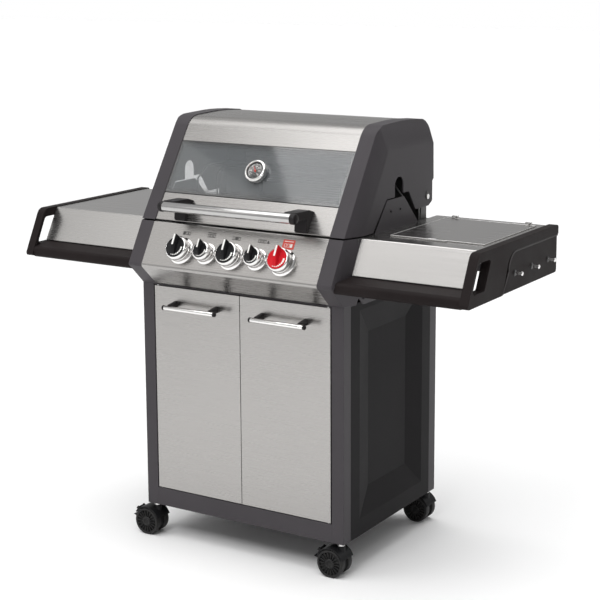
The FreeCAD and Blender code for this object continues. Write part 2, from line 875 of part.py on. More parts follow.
def cooking_grates():
    """Two cast grates: bars front to back, tied by three bars across."""
    z1 = deck - grate_drop
    z0 = z1 - grate_thickness
    y0 = front + firebox_front + firebox_wall + 1
    y1 = front + firebox_back - firebox_wall - 1
    inside = firebox_half - firebox_wall
    x0 = grate_gap / 2
    count = int((inside - x0 - grate_bar) / grate_pitch)
    pitch = (inside - x0 - grate_bar) / count
    starts = [x0 + i * pitch for i in range(count + 1)]
    bars = [box(x, x + grate_bar, y0, y1, z0 + 2, z1) for x in starts]
    for share in (0.0, 0.5, 1.0):
        y = y0 + share * (y1 - y0 - grate_bar)
        bars.append(box(x0, inside, y, y + grate_bar, z0, z1 - 1))
    grate = fuse(bars)
    return group([grate, mirrored(grate)])


def rear_burner():
    """Infrared burner housing on the raised rear wall."""
    width, depth, height = rear_burner_size
    rim = rear_burner_rim
    y1 = front + firebox_back - firebox_wall
    y0 = y1 - depth
    z0 = deck + rear_burner_lift
    shell = box(-width / 2, width / 2, y0, y1, z0, z0 + height)
    recess = box(-width / 2 + rim, width / 2 - rim, y0 - 1, y0 + 8, z0 + rim, z0 + height - rim)
    return shell.cut(recess)


def warming_rack():
    """Wire rack above the back of the grates, on two end frames."""
    r = rack_wire_r
    z = deck + rack_height
    y0, y1 = front + rack_front, front + rack_back
    x1 = firebox_half - rack_inset
    pieces = [rod(V(-x1, y, z), V(x1, y, z), r) for y in (y0, y1)]
    for i in range(rack_wires):
        x = -x1 + 2 * x1 * i / (rack_wires - 1)
        pieces.append(rod(V(x, y0, z), V(x, y1, z), r))
    for i in range(1, 5):
        y = y0 + (y1 - y0) * i / 5
        pieces.append(rod(V(-x1, y, z), V(x1, y, z), r * 0.7))
    foot_x = firebox_half - firebox_wall - r
    foot_z = deck - grate_drop
    for side in (-1, 1):
        for y in (y0, y1):
            corner = V(side * x1, y, z)
            knee = V(side * foot_x, y, z - rack_knee)
            pieces += [rod(corner, knee, r), upright(knee, foot_z, knee.z, r)]
            pieces += [Part.makeSphere(r, knee), Part.makeSphere(r, corner)]
    return fuse(pieces)


# ---------------------------------------------------------------- lid
def lid_profile():
    """Outside of the lid from its front foot over the crown to the rear skin's lower edge."""
    y_back = front + lid_back
    top = lid_z + lid_height
    knee_rise = lid_height - crown_rise
    knee_y = lid_foot.y + knee_rise * math.tan(math.radians(lid_angle))
    crown_y = (knee_y + y_back) / 2 + 12
    return [(lid_foot.y, lid_z), (knee_y, lid_z + knee_rise, knee_radius), (crown_y, top, crown_radius),
            (y_back - 4, top - 8, back_radius), (y_back, lid_z + lid_back_low)]


def lid_side_outline(inset):
    """Lid end seen from the side, without its cut-outs."""
    path = lid_profile()
    if inset:
        path = offset_path(path[::-1], inset)[::-1]
        slope = math.tan(math.radians(lid_angle))
        path[0] = (path[0][0] - slope, lid_z - 1, 0)
        return path + [(path[-1][0], lid_z - 1)]
    y_low = front + lid_back - lid_back_step
    return path + [(y_low, lid_z + lid_back_low - 6), (y_low, lid_z + 31), (lid_hinge.y + 14, lid_z)]


def top_flare(inset):
    """Wedge that slopes the lid's end inwards towards the crown."""
    angle = math.atan2(body_flare, top_flare_drop)
    outward = V(math.cos(angle), 0, math.sin(angle))
    along = V(-math.sin(angle), 0, math.cos(angle))
    start = V(body_half, front - 50, lid_z + lid_height - top_flare_drop) - outward * inset
    end = start + along * 200
    wedge = polygon([start, end, end + outward * 150, start + outward * 150])
    return wedge.extrude(V(0, cabinet_depth + 200, 0))


def spit_cut():
    """Space in the lid's end for the bracket, the spit and the hinge corner."""
    y0, y1 = [front + d for d in bracket_front]
    y2, y3 = [front + d for d in bracket_rear]
    top = deck + bracket_height + bracket_gap
    r = spit_slot_r
    slot_y = (y1 + y2) / 2 + spit_slot_offset
    slot_top = top + spit_slot_rise + r
    hinge_y = lid_hinge.y
    return side_plate([
        (y0 - bracket_gap - 9, lid_z - 2), (y1 - bracket_gap, top, 8), (slot_y - r, top),
        (slot_y - r, slot_top, r - 0.5), (slot_y + r, slot_top, r - 0.5), (slot_y + r, top + 6),
        (y2 + 26, top + 6, 8), (y3 - 14, lid_z + 30), (hinge_y + 6, lid_z + 30, 3),
        (hinge_y + 16, lid_z + 42, 3), (hinge_y + 60, lid_z + 42), (hinge_y + 60, lid_z - 2)],
        band_inner + 4 * lid_wall, body_half + 1)


def hinge_plate():
    """Corner of the lid's end that carries its hinge bore."""
    y_back = front + lid_back - lid_back_step
    y_front = lid_hinge.y - 60
    return side_plate([
        (y_front, lid_z + 30), (lid_hinge.y + 9, lid_z + 30, 4), (y_back, lid_z + 41, 8),
        (y_back, lid_z + 90), (y_front, lid_z + 90)], body_half - lid_wall, body_half)


def lid_side():
    """Right end of the lid: a cast shell with a front band, bevels and the spit slot."""
    foot, knee = [point[:2] for point in lid_profile()[:2]]
    outer = bevelled_side(lid_side_outline(0), [(foot, knee)], band_inner, 0).cut(top_flare(0))
    inner = bevelled_side(lid_side_outline(lid_wall), [(foot, knee)], band_inner - 1, lid_wall)
    shell = outer.cut(inner.cut(top_flare(lid_wall))).cut(spit_cut())
    rear_band = box(band_inner - 1, body_half - lid_wall, lid_hinge.y - 80, back,
                    lid_z - 5, lid_z + lid_back_low)
    bore = across(lid_hinge, body_half - 10, body_half + 10, hinge_pin_r + running)
    return fuse([shell.cut(rear_band), hinge_plate()]).cut(bore)


def lid_sides():
    return group([lid_side(), mirrored(lid_side())])


def hinge_pin(side):
    """Lid hinge pin through the firebox ear and the lid's side, with a head outside."""
    inner_x = firebox_half - lid_wall - 8
    outer_x = body_half + 0.4
    return fuse([
        across(lid_hinge, side * inner_x, side * outer_x, hinge_pin_r),
        across(lid_hinge, side * outer_x, side * (outer_x + 3), hinge_pin_r + 3)])


def lid_skin():
    """Curved stainless skin over the crown and down the back."""
    profile = offset_path(lid_profile()[::-1], skin_recess)[::-1]
    start = on_lid(0, window_high + 1, -skin_recess)
    fold = start - lid_out * lid_fold
    path = [(fold.y, fold.z), (start.y, start.z, 2)] + profile[1:]
    return folded_sheet(path[::-1], skin_sheet, -band_inner, band_inner)


def lid_strip():
    """Stainless strip below the window, folded back along both edges."""
    low = on_lid(0, 1, -skin_recess)
    high = on_lid(0, window_low - 1, -skin_recess)
    inner = high - lid_out * lid_fold
    path = [(low.y + 14, low.z + 1), (low.y, low.z, 2), (high.y, high.z, 2), (inner.y, inner.z)]
    return folded_sheet(path[::-1], sheet, -band_inner, band_inner)


def lid_glass():
    """Flat window with a hole for the thermometer."""
    low = on_lid(-band_inner, window_low, -glass_recess)
    high = on_lid(-band_inner, window_high, -glass_recess)
    width = V(2 * band_inner, 0, 0)
    pane = polygon([low, low + width, high + width, high]).extrude(lid_out * -glass_thickness)
    hole = rod(on_lid(0, thermometer_along, -20), on_lid(0, thermometer_along, 5), thermometer_body_r)
    return pane.cut(hole)


def thermometer():
    """Round case clamped through the glass, a dial recess in front and a probe behind."""
    def part(start, end, r):
        return rod(on_lid(0, thermometer_along, start), on_lid(0, thermometer_along, end), r)

    outside = -glass_recess
    inside = outside - glass_thickness
    case = part(outside, thermometer_proud, thermometer_r)
    dial = part(thermometer_proud - 5, thermometer_proud + 1, thermometer_r - 5)
    body = part(inside - 10, outside, thermometer_body_r)
    nut = part(inside - 8, inside, thermometer_body_r + 6)
    probe = part(-50, outside - 10, 3.0)
    return fuse([case.cut(dial), body, nut, probe])


def lid_handle_bar():
    """Round bar held off the lid's strip."""
    centre = on_lid(0, lid_handle_along, lid_handle_standoff)
    return across(centre, -lid_handle_length / 2, lid_handle_length / 2, lid_handle_r)


def lid_handle_brackets():
    """Moulded brackets from the lid's strip to the bar."""
    made = []
    surface = -skin_recess
    reach = lid_handle_length / 2 - lid_bracket_inset
    foot, bar_a, bar_o = lid_bracket_foot, lid_handle_along, lid_handle_standoff
    corners = [
        (foot, surface), (foot - 6, 20), (bar_a + 17, bar_o), (bar_a - 6, bar_o + 4),
        (bar_a + 2, bar_o - 18), (foot - 32, 22), (4, surface + 9), (4, surface)]
    for side in (-1, 1):
        inner_x = side * (reach - lid_bracket_width)
        plate = polygon([on_lid(inner_x, a, o) for a, o in corners])
        made.append(plate.extrude(V(side * lid_bracket_width, 0, 0)).cut(lid_handle_bar()))
    return group(made)


# ---------------------------------------------------------------- side shelves
def shelf_front_top():
    return front + shelf_front


def shelf_back():
    return back - shelf_back_gap


def shelf_skin():
    """Stainless top and sloping front of a shelf, with a folded back edge."""
    y_top, y_back = shelf_front_top(), shelf_back()
    y_low, z_low = front + shelf_front_foot, shelf_top - shelf_front_height
    path = [(y_back, shelf_top - shelf_fold), (y_back, shelf_top, 3), (y_top, shelf_top, 4),
            (y_low, z_low, 2), (y_low + shelf_fold - 1, z_low)]
    return folded_sheet(path, sheet, body_half, cap_inner)


def shelf_rail():
    """Rounded rail below the shelf's sloping front, from the body's bevel to the end cap."""
    z1 = shelf_top - shelf_front_height - 1
    z0 = shelf_top - cap_drop - 3
    y0 = front + shelf_rail_front
    y1 = front + shelf_front_foot + shelf_fold - 1
    inner_x = half - 2
    outer = side_plate([(y1, z1), (y1 - shelf_fold + 1, z1), (y0 + 2, z1 - 10, 12), (y0, z0, 10),
                        (y1, z0, 3)], inner_x, cap_inner)
    hollow = side_plate([(y1 - 2, z1 - 4), (y0 + 12, z1 - 13, 8), (y0 + 3, z0 + 3, 6), (y1 - 2, z0 + 3)],
                        inner_x - 1, cap_inner + 1)
    return outer.cut(hollow).cut(cheek_block())


def shelf_rails():
    return group([shelf_rail(), mirrored(shelf_rail())])


def shelf_beam(y0, z0, height):
    return tube(body_half, cap_inner, y0, y0 + 20, z0, z0 + height, 1.5, "x")


def shelf_beams():
    """Two square tubes under each shelf, bolted to the body's side."""
    made = []
    for y in (front + shelf_front_foot + 16, front + firebox_back - 40):
        beam = shelf_beam(y, shelf_top - cap_drop + 2, 20)
        made += [beam, mirrored(beam)]
    return group(made)


def cap_front_points():
    y_foot, y_head = front + cap_front_foot, front + cap_front_head
    z_foot = shelf_top - cap_drop
    return y_foot, y_head, z_foot


def grip_opening(y_foot, slope, z_foot):
    """Hand hole behind the end cap's sloping front bar."""
    def behind_bar(z):
        return y_foot + slope * (z - z_foot) + grip_bar

    z0 = z_foot + grip_lift
    z1 = z0 + grip_height
    low, high = behind_bar(z0), behind_bar(z1)
    return side_plate([(low, z0, 9), (high, z1, 12), (high + grip_width, z1, 7),
                       (low + grip_width, z0, 7)], cap_inner - 1, shelf_end + 1)


def end_cap():
    """Right end cap: a thick plastic plate with an open grip loop in front."""
    y_foot, y_head, z_foot = cap_front_points()
    y_rear = back - cap_back_gap
    z_top = shelf_top + cap_lip
    plate = side_plate([(y_foot, z_foot, 8), (y_head, z_top, cap_nose_radius), (y_rear, z_top, 8),
                        (y_rear, z_foot, 8)], cap_inner, shelf_end)
    slope = (y_head - y_foot) / (z_top - z_foot)
    hollow_front = y_foot + slope * grip_lift + grip_bar + grip_width + 12 * cap_wall
    hollow = box(cap_inner - 1, shelf_end - cap_wall - field_depth - 1, hollow_front, y_rear - cap_wall,
                 z_foot - 1, z_top - 4 * cap_wall)
    field_front = front + field_setback
    field_top = z_top - field_border
    field = side_plate([(field_front, z_foot - 1), (field_front + 40, field_top, 52),
                        (y_rear + 1, field_top), (y_rear + 1, z_foot - 1)],
                       shelf_end - field_depth, shelf_end + 1)
    cap = plate.cut(grip_opening(y_foot, slope, z_foot)).cut(hollow).cut(field)
    for hook in hook_axes():
        cap = cap.cut(across(hook, cap_inner, shelf_end, hook_r))
    return cap


def hook_axes():
    """Places of the utensil hooks in the side view."""
    return [V(0, front + d, shelf_top - hook_drop) for d in hook_places]


def utensil_hooks():
    """Three pegs with round heads on the right end cap."""
    made = []
    root = shelf_end - cap_wall - field_depth - 1
    neck = shelf_end + hook_reach - hook_head_length
    for hook in hook_axes():
        made.append(fuse([
            across(hook, root, neck, hook_r),
            across(hook, neck, shelf_end + hook_reach, hook_head_r)]))
    return group(made)


# ---------------------------------------------------------------- side burner
def cover_edges():
    """Outer edges of the side burner's cover in plan."""
    x0 = body_half + cover_margin_in
    x1 = cap_inner - cover_margin_out
    y0 = shelf_front_top() + cover_margin_front
    y1 = shelf_back() - cover_margin_back
    return x0, x1, y0, y1


def cover_ear_x():
    """Left faces of the shelf's four hinge ears, in pairs."""
    x0, x1, _, _ = cover_edges()
    pitch = cover_lug_width + 2 * cover_lug_gap + cover_ear
    return x0 + 16, x0 + 16 + pitch, x1 - 19 - pitch, x1 - 19


def right_shelf_skin():
    """Shelf top with the opening and the hinge ears of the side burner's cover."""
    x0, x1, y0, y1 = cover_edges()
    lap = cover_lap
    opening = box(x0 + lap, x1 - lap, y0 + lap, y1 - lap, shelf_top - 10, shelf_top + 10)
    skin = shelf_skin().cut(opening)
    ears = [box(x, x + cover_ear, y1 + 2, y1 + 10, shelf_top - sheet, shelf_top + 8) for x in cover_ear_x()]
    skin = fuse([skin] + ears)
    for x in cover_ear_x():
        skin = skin.cut(across(cover_hinge(), x, x + cover_ear, cover_hinge_r))
    return skin


def cover_hinge():
    """Middle of the cover's hinge axis."""
    x0, x1, _, y1 = cover_edges()
    return V((x0 + x1) / 2, y1 + 6, shelf_top + 4)


def cover_pins():
    """Hinge pins of the side burner's cover, each through two ears and a lug."""
    ears = cover_ear_x()
    return [across(cover_hinge(), ears[i], ears[i + 1] + cover_ear, cover_hinge_r) for i in (0, 2)]


def side_burner_cover():
    """Flat lid over the side burner, with a rim, a finger tab and two hinge lugs."""
    x0, x1, y0, y1 = cover_edges()
    z0 = shelf_top + cover_lift
    z1 = z0 + cover_sheet
    plate = box(x0, x1, y0, y1, z0, z1)
    out = cover_lap + well_gap + sheet + 1.5
    inn = out + sheet
    rim = box(x0 + out, x1 - out, y0 + out, y1 - out, z0 - cover_rim, z0)
    rim = rim.cut(box(x0 + inn, x1 - inn, y0 + inn, y1 - inn, z0 - cover_rim - 1, z0 + 1))
    axis = cover_hinge()
    tab = box(axis.x - 30, axis.x + 30, y0 - 9, y0 + 2, z0, z1)
    lugs = []
    for ear in cover_ear_x()[::2]:
        x = ear + cover_ear + cover_lug_gap
        lug = side_plate([(y1 - 8, z0), (y1 - 8, z1 + 2, 1), (axis.y, axis.z + 5, 3),
                          (axis.y + 5, axis.z, 3), (axis.y, z0 + 0.3, 1)], x, x + cover_lug_width)
        bore = across(axis, x - 1, x + cover_lug_width + 1, cover_hinge_r + running)
        lugs.append(lug.cut(bore))
    return fuse([plate, rim, tab] + lugs)


def well_edges():
    x0, x1, y0, y1 = cover_edges()
    inset = cover_lap + well_gap
    return x0 + inset, x1 - inset, y0 + inset, y1 - inset


def side_burner():
    """Drip well hung in the shelf opening, with the burner's head and base."""
    x0, x1, y0, y1 = well_edges()
    rim = cover_lap + 6
    z1 = shelf_top - sheet
    inside = (x0 + sheet, x1 - sheet, y0 + sheet, y1 - sheet)
    well = box(x0, x1, y0, y1, well_floor, z1).cut(box(*inside, well_floor + sheet, z1 + 1))
    flange = box(x0 - rim, x1 + rim, y0 - rim, y1 + rim, z1 - sheet, z1).cut(box(*inside, z1 - 5, z1 + 5))
    middle = V((x0 + x1) / 2, (y0 + y1) / 2, 0)
    head_z = well_floor + side_burner_base
    base = upright(middle, well_floor, head_z, side_burner_r * 0.7)
    head = Part.makeCone(side_burner_r, side_burner_r * 0.86, 8, middle + V(0, 0, head_z), V(0, 0, 1))
    return fuse([well, flange, base, head])


def pan_support():
    """Bars that hold a pan over the side burner."""
    x0, x1, y0, y1 = well_edges()
    x0, x1, y0, y1 = x0 + sheet, x1 - sheet, y0 + sheet, y1 - sheet
    z1 = shelf_top - cover_rim - 2
    z0 = z1 - pan_support_bar
    b = pan_support_bar / 2
    mx, my = (x0 + x1) / 2, (y0 + y1) / 2
    middle = V(mx, my, 0)
    ring = upright(middle, z0, z1, pan_ring_r).cut(upright(middle, z0 - 1, z1 + 1, pan_ring_r - 6))
    near = pan_ring_r - 5
    pieces = [ring]
    for side in (-1, 1):
        x, y = mx + side * pan_bar_offset, my + side * pan_bar_offset
        pieces.append(box(x - b, x + b, y0, y1, z0, z1))
        pieces.append(box(x0, x1, y - b, y + b, z0, z1))
    pieces.append(box(x0, mx - near, my - b, my + b, z0, z1))
    pieces.append(box(mx + near, x1, my - b, my + b, z0, z1))
    pieces.append(box(mx - b, mx + b, y0, my - near, z0, z1))
    pieces.append(box(mx - b, mx + b, my + near, y1, z0, z1))
    return fuse(pieces)


# ---------------------------------------------------------------- grease tray
def tray_rim_z():
    return cabinet_top + tray_height


def grease_tray():
    """Sheet tray that slides out of the back on two runners."""
    h = tray_width / 2
    w = tray_wall
    y0, y1 = front + tray_front, back - tray_back_gap
    z0 = cabinet_top + 1.0
    z1 = tray_rim_z()
    body = box(-h, h, y0, y1, z0, z1).cut(box(-h + w, h - w, y0 + w, y1 - w, z0 + w, z1 + 1))
    rims = [box(x, x + tray_lip + w, y0, y1, z1 - w, z1) for x in (h - w, -h - tray_lip)]
    pull = box(-40, 40, y1, y1 + tray_back_gap, z1 - w, z1)
    return fuse([body, pull] + rims)


# ---------------------------------------------------------------- castors
def castor_stem(place):
    """Threaded stem from the castor's boss into the post's plug, with its nut."""
    nut = upright(place, ground_clearance - castor_nut_height, ground_clearance, castor_nut_r)
    return fuse([upright(place, wheel_r - 2, ground_clearance + plug_height, castor_stem_r), nut])


def castor_stems():
    return group(castor_stem(p) for p in post_centres().values())


def wheel_centre(place):
    return V(place.x - castor_trail, place.y, wheel_r)


def lever_ears(place):
    """Two ears on the canopy's rear that carry the brake lever's pin."""
    c = wheel_centre(place)
    pin = lever_pin(place)
    toe = c + (pin - c) * ((wheel_r + canopy_gap + 1) / (pin - c).Length)
    lean = (pin - toe).normalize()
    across_ear = V(-lean.z, 0, lean.x) * (lever_pin_r + 2)
    top = pin + lean * 4
    ears = []
    for side in (-1, 1):
        shift = V(0, side * (lever_width / 2 + lever_gap), 0)
        corners = [toe - across_ear, toe + across_ear, top + across_ear, top - across_ear]
        ears.append(polygon([p + shift for p in corners]).extrude(V(0, side * lever_ear, 0)))
    return ears


def castor_hood(place, braked):
    """Castor body: a web between the wheels, a boss for the stem and a canopy over the treads."""
    c = wheel_centre(place)
    w = web_width / 2
    full = V(0, w + wheel_gap + wheel_width, 0)
    r_in = wheel_r + canopy_gap
    web = rod(c - V(0, w, 0), c + V(0, w, 0), wheel_r - 5)
    bridge = ring_sector(c, wheel_r - 12, r_in + 1, canopy_span, w - 0.5)
    canopy = ring_sector(c, r_in, r_in + canopy_wall, canopy_span, full.y)
    boss_top = ground_clearance - castor_nut_height - 0.4
    boss = upright(place, c.z - 8, boss_top, w - 0.2)
    collar = upright(place, c.z + 25, boss_top, w + 3).cut(rod(c - full, c + full, r_in + 1))
    ears = lever_ears(place) if braked else []
    hood = fuse([web, bridge, canopy, boss, collar] + ears)
    hood = hood.cut(upright(place, 0, 2 * ground_clearance, castor_stem_r + running))
    if braked:
        pin = lever_pin(place)
        hood = hood.cut(rod(pin - full, pin + full, lever_pin_r + running))
    return hood.cut(rod(c - full, c + full, axle_r + running))


def ring_sector(centre, r_in, r_out, span, half_width):
    """Part of a ring about the wheel axis, between two angles in degrees from +X to +Z."""
    a0, a1 = (math.radians(a) for a in span)
    start = centre - V(0, half_width, 0)

    def arc(r, *angles):
        return Part.Arc(*[start + V(math.cos(a), 0, math.sin(a)) * r for a in angles]).toShape()

    def radial(a, r0, r1):
        direction = V(math.cos(a), 0, math.sin(a))
        return Part.LineSegment(start + direction * r0, start + direction * r1).toShape()

    middle = (a0 + a1) / 2
    edges = [arc(r_in, a0, middle, a1), radial(a1, r_in, r_out), arc(r_out, a1, middle, a0),
             radial(a0, r_out, r_in)]
    return Part.Face(Part.Wire(edges)).extrude(V(0, 2 * half_width, 0))


def castor_wheels(place):
    """Pair of wheels on their common axle."""
    c = wheel_centre(place)
    near = web_width / 2 + wheel_gap
    far = near + wheel_width
    pieces = [rod(c - V(0, far, 0), c + V(0, far, 0), axle_r)]
    for side in (-1, 1):
        wheel = rod(c + V(0, side * near, 0), c + V(0, side * far, 0), wheel_r)
        rims = [e for e in wheel.Edges if e.Length > wheel_r * 6 - 1 and hasattr(e.Curve, "Radius")]
        wheel = wheel.makeFillet(tread_edge_r, rims)
        dish_floor = c + V(0, side * (far - wheel_dish), 0)
        outside = c + V(0, side * (far + 1), 0)
        dish = rod(dish_floor, outside, wheel_r - 8).cut(rod(c, outside, wheel_hub_r))
        pieces.append(wheel.cut(dish))
    return fuse(pieces)


def lever_pin(place):
    """Axis of the brake lever, above and behind the wheel."""
    c = wheel_centre(place)
    r = wheel_r + canopy_gap + canopy_wall + 4.5
    a = math.radians(lever_angle)
    return c + V(math.cos(a), 0, math.sin(a)) * r


def brake_lever(place):
    """Foot lever that swings down behind the wheel."""
    pin = lever_pin(place)
    h = lever_width / 2
    slope = math.radians(lever_slope)
    direction = V(-math.cos(slope), 0, -math.sin(slope))
    normal = V(-direction.z, 0, direction.x)
    thick = normal * lever_thickness
    start = pin - thick * 0.5 - V(0, h, 0)
    tip = start + direction * lever_length
    toe = tip + V(-9, 0, 2)
    plate = polygon([start, tip, toe, toe + thick, tip + thick, start + thick])
    barrel = rod(pin - V(0, h, 0), pin + V(0, h, 0), lever_pin_r + 1.5)
    pin_reach = V(0, h + lever_gap + lever_ear, 0)
    pivot = rod(pin - pin_reach, pin + pin_reach, lever_pin_r)
    return fuse([plate.extrude(V(0, lever_width, 0)), barrel, pivot])


# ---------------------------------------------------------------- small fixed pieces
def door_pins():
    """Pins fixed in the bottom rail and the top lip, one above the other at each side."""
    made = []
    for side in (-1, 1):
        axis = door_pin_axis(side)
        made.append(upright(axis, rail_top - rail_wall, door_low() + door_pin_reach, door_pin_r))
        made.append(upright(axis, door_high() - door_pin_reach, cabinet_top, door_pin_r))
    return made


def hinge_pins():
    """Pins of the doors, the lid and the side burner's cover."""
    return group(door_pins() + [hinge_pin(-1), hinge_pin(1)] + cover_pins())


def fasteners():
    """Visible screw heads on both sides of the body."""
    made = []
    small = [(d, deck + bracket_screw_rise, bracket_screw_r) for d in bracket_screws]
    large = [(d, cabinet_top + body_screw_rise, body_screw_r) for d in body_screws]
    for d, z, r in small + large:
        for side in (-1, 1):
            made.append(across(V(0, front + d, z), side * body_half, side * (body_half + screw_head), r))
    return group(made)


def door_magnets():
    """Catches behind the doors' inner top corners."""
    catch = box(magnet_inset, magnet_inset + magnet_size[0], front + door_thickness + 0.5,
                front + top_rail_setback, cabinet_top - magnet_drop - magnet_size[1],
                cabinet_top - magnet_drop)
    return group([catch, mirrored(catch)])


# ---------------------------------------------------------------- all pieces
def build():
    places = post_centres()
    nodes = {
        "posts": posts(),
        "frame_rails": group([cross_rails(), shelf_beams()]),
        "bottom_shelf": bottom_shelf(),
        "cabinet_panels": group([side_panels(), rear_panel()]),
        "castor_stems": castor_stems(),
        "door_magnets": door_magnets(),
        "hinge_pins": hinge_pins(),
        "fasteners": fasteners(),
        "body_cheeks": body_cheeks(),
        "control_panel": control_panel(),
        "knob_bezels": knob_bezels(),
        "gas_manifold": gas_manifold(),
        "firebox": firebox(),
        "main_burners": main_burners(),
        "flame_tamers": flame_tamers(),
        "cooking_grates": cooking_grates(),
        "rear_burner": rear_burner(),
        "warming_rack": warming_rack(),
        "left_shelf_skin": mirrored(shelf_skin()),
        "right_shelf_skin": right_shelf_skin(),
        "shelf_rails": shelf_rails(),
        "end_caps": group([end_cap(), mirrored(end_cap())]),
        "utensil_hooks": utensil_hooks(),
        "side_burner": side_burner(),
        "pan_support": pan_support(),
        "side_burner_cover": side_burner_cover(),
        "grease_tray": grease_tray(),
        "right_door": right_door(),
        "right_door_handle": door_handle_bar(),
        "right_door_standoffs": door_handle_posts(),
        "left_door": mirrored(right_door()),
        "left_door_handle": mirrored(door_handle_bar()),
        "left_door_standoffs": mirrored(door_handle_posts()),
        "lid_sides": lid_sides(),
        "lid_skin": lid_skin(),
        "lid_strip": lid_strip(),
        "lid_glass": lid_glass(),
        "lid_thermometer": thermometer(),
        "lid_handle_bar": lid_handle_bar(),
        "lid_handle_brackets": lid_handle_brackets(),
    }
    for k in range(len(knob_kinds)):
        nodes[f"valve_stem_{k + 1}"] = valve_stem(k)
        nodes[f"knob_{k + 1}"] = knob(k)
    for corner, place in places.items():
        braked = corner.startswith("front")
        nodes[f"{corner}_castor"] = castor_hood(place, braked)
        nodes[f"{corner}_wheels"] = castor_wheels(place)
        if braked:
            nodes[f"{corner}_brake"] = brake_lever(place)
    return nodes


def write(nodes):
    os.makedirs("parts", exist_ok=True)
    for name, shape in nodes.items():
        shape.exportStep(f"parts/{name}.step")


nodes = build()
write(nodes)
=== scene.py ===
"""Finish and fine detail of a three-burner gas barbecue grill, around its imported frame.

Lengths are in millimetres until they are multiplied by MM. Blender works in metres.
"""
import json
import math

import bpy
from mathutils import Matrix, Vector

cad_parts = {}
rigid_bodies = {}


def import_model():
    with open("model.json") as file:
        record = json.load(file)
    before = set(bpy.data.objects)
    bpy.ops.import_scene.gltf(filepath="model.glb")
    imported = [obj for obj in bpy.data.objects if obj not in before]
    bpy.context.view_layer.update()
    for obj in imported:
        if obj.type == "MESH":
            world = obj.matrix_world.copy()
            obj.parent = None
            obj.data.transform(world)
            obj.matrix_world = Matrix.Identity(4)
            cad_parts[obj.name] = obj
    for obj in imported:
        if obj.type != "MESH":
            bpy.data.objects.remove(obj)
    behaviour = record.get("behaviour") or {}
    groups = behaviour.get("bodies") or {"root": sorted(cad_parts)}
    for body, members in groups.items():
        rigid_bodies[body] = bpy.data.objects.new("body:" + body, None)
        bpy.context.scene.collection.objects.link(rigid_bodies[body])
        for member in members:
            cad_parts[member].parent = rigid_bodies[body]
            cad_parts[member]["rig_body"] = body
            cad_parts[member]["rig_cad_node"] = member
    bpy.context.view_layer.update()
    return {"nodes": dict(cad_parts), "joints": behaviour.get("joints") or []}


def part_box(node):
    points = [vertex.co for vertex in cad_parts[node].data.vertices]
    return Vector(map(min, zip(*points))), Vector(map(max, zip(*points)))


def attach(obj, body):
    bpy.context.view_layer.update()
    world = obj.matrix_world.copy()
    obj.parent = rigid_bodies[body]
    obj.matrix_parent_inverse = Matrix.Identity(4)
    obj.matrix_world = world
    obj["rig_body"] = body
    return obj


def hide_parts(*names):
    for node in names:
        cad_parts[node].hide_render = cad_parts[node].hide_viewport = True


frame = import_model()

nodes = frame["nodes"]
joints = {joint["name"]: joint for joint in frame["joints"]}
MM = 0.001
ROOT = "cart"
X_AXIS = Vector((1, 0, 0))
Y_AXIS = Vector((0, 1, 0))
Z_AXIS = Vector((0, 0, 1))
LID_ANGLE = 32.9            # lean of the lid's front from upright, in degrees
LID_FACE = 4.0              # thickness of the lid's front sheet
KNOB_COUNT = 5
RED_KNOB = 5
KNOB_STAND = 46.0           # height of a knob's blade above the panel
CORNERS = ("front_left", "front_right", "rear_left", "rear_right")
# Stands an outline drawn in XY up, so that its X runs along Y and its Y along Z.
STAND = Matrix(((0, 0, 1, 0), (1, 0, 0, 0), (0, 1, 0, 0), (0, 0, 0, 1)))


# ------------------------------------------------------------------ shader arithmetic
class Signal:
    """A shader socket that takes part in arithmetic. Each operation adds its Math node."""

    def __init__(self, finish, socket):
        self.finish = finish
        self.socket = socket

    def math(self, operation, *values):
        return self.finish.node("ShaderNodeMath", {"operation": operation}, dict(enumerate(values)))

    def __add__(self, other):
        return self.math("ADD", self, other)

    def __sub__(self, other):
        return self.math("SUBTRACT", self, other)

    def __rsub__(self, other):
        return self.math("SUBTRACT", other, self)

    def __mul__(self, other):
        return self.math("MULTIPLY", self, other)

    def __truediv__(self, other):
        return self.math("DIVIDE", self, other)

    def __lt__(self, other):
        return self.math("LESS_THAN", self, other)

    def __abs__(self):
        return self.math("ABSOLUTE", self)

    __radd__ = __add__
    __rmul__ = __mul__


class Graph:
    """The nodes of one material or of the studio's sky."""

    def __init__(self, tree):
        self.tree = tree

    def node(self, kind, settings=None, inputs=None, output=0):
        made = self.tree.nodes.new(kind)
        for key, value in (settings or {}).items():
            setattr(made, key, value)
        for key, value in (inputs or {}).items():
            self.feed(made.inputs[key], value)
        return Signal(self, made.outputs[output])

    def feed(self, socket, value):
        if isinstance(value, Signal):
            self.tree.links.new(value.socket, socket)
        else:
            socket.default_value = value

    def axes(self, where):
        return [self.node("ShaderNodeSeparateXYZ", {}, {0: where}, i) for i in range(3)]


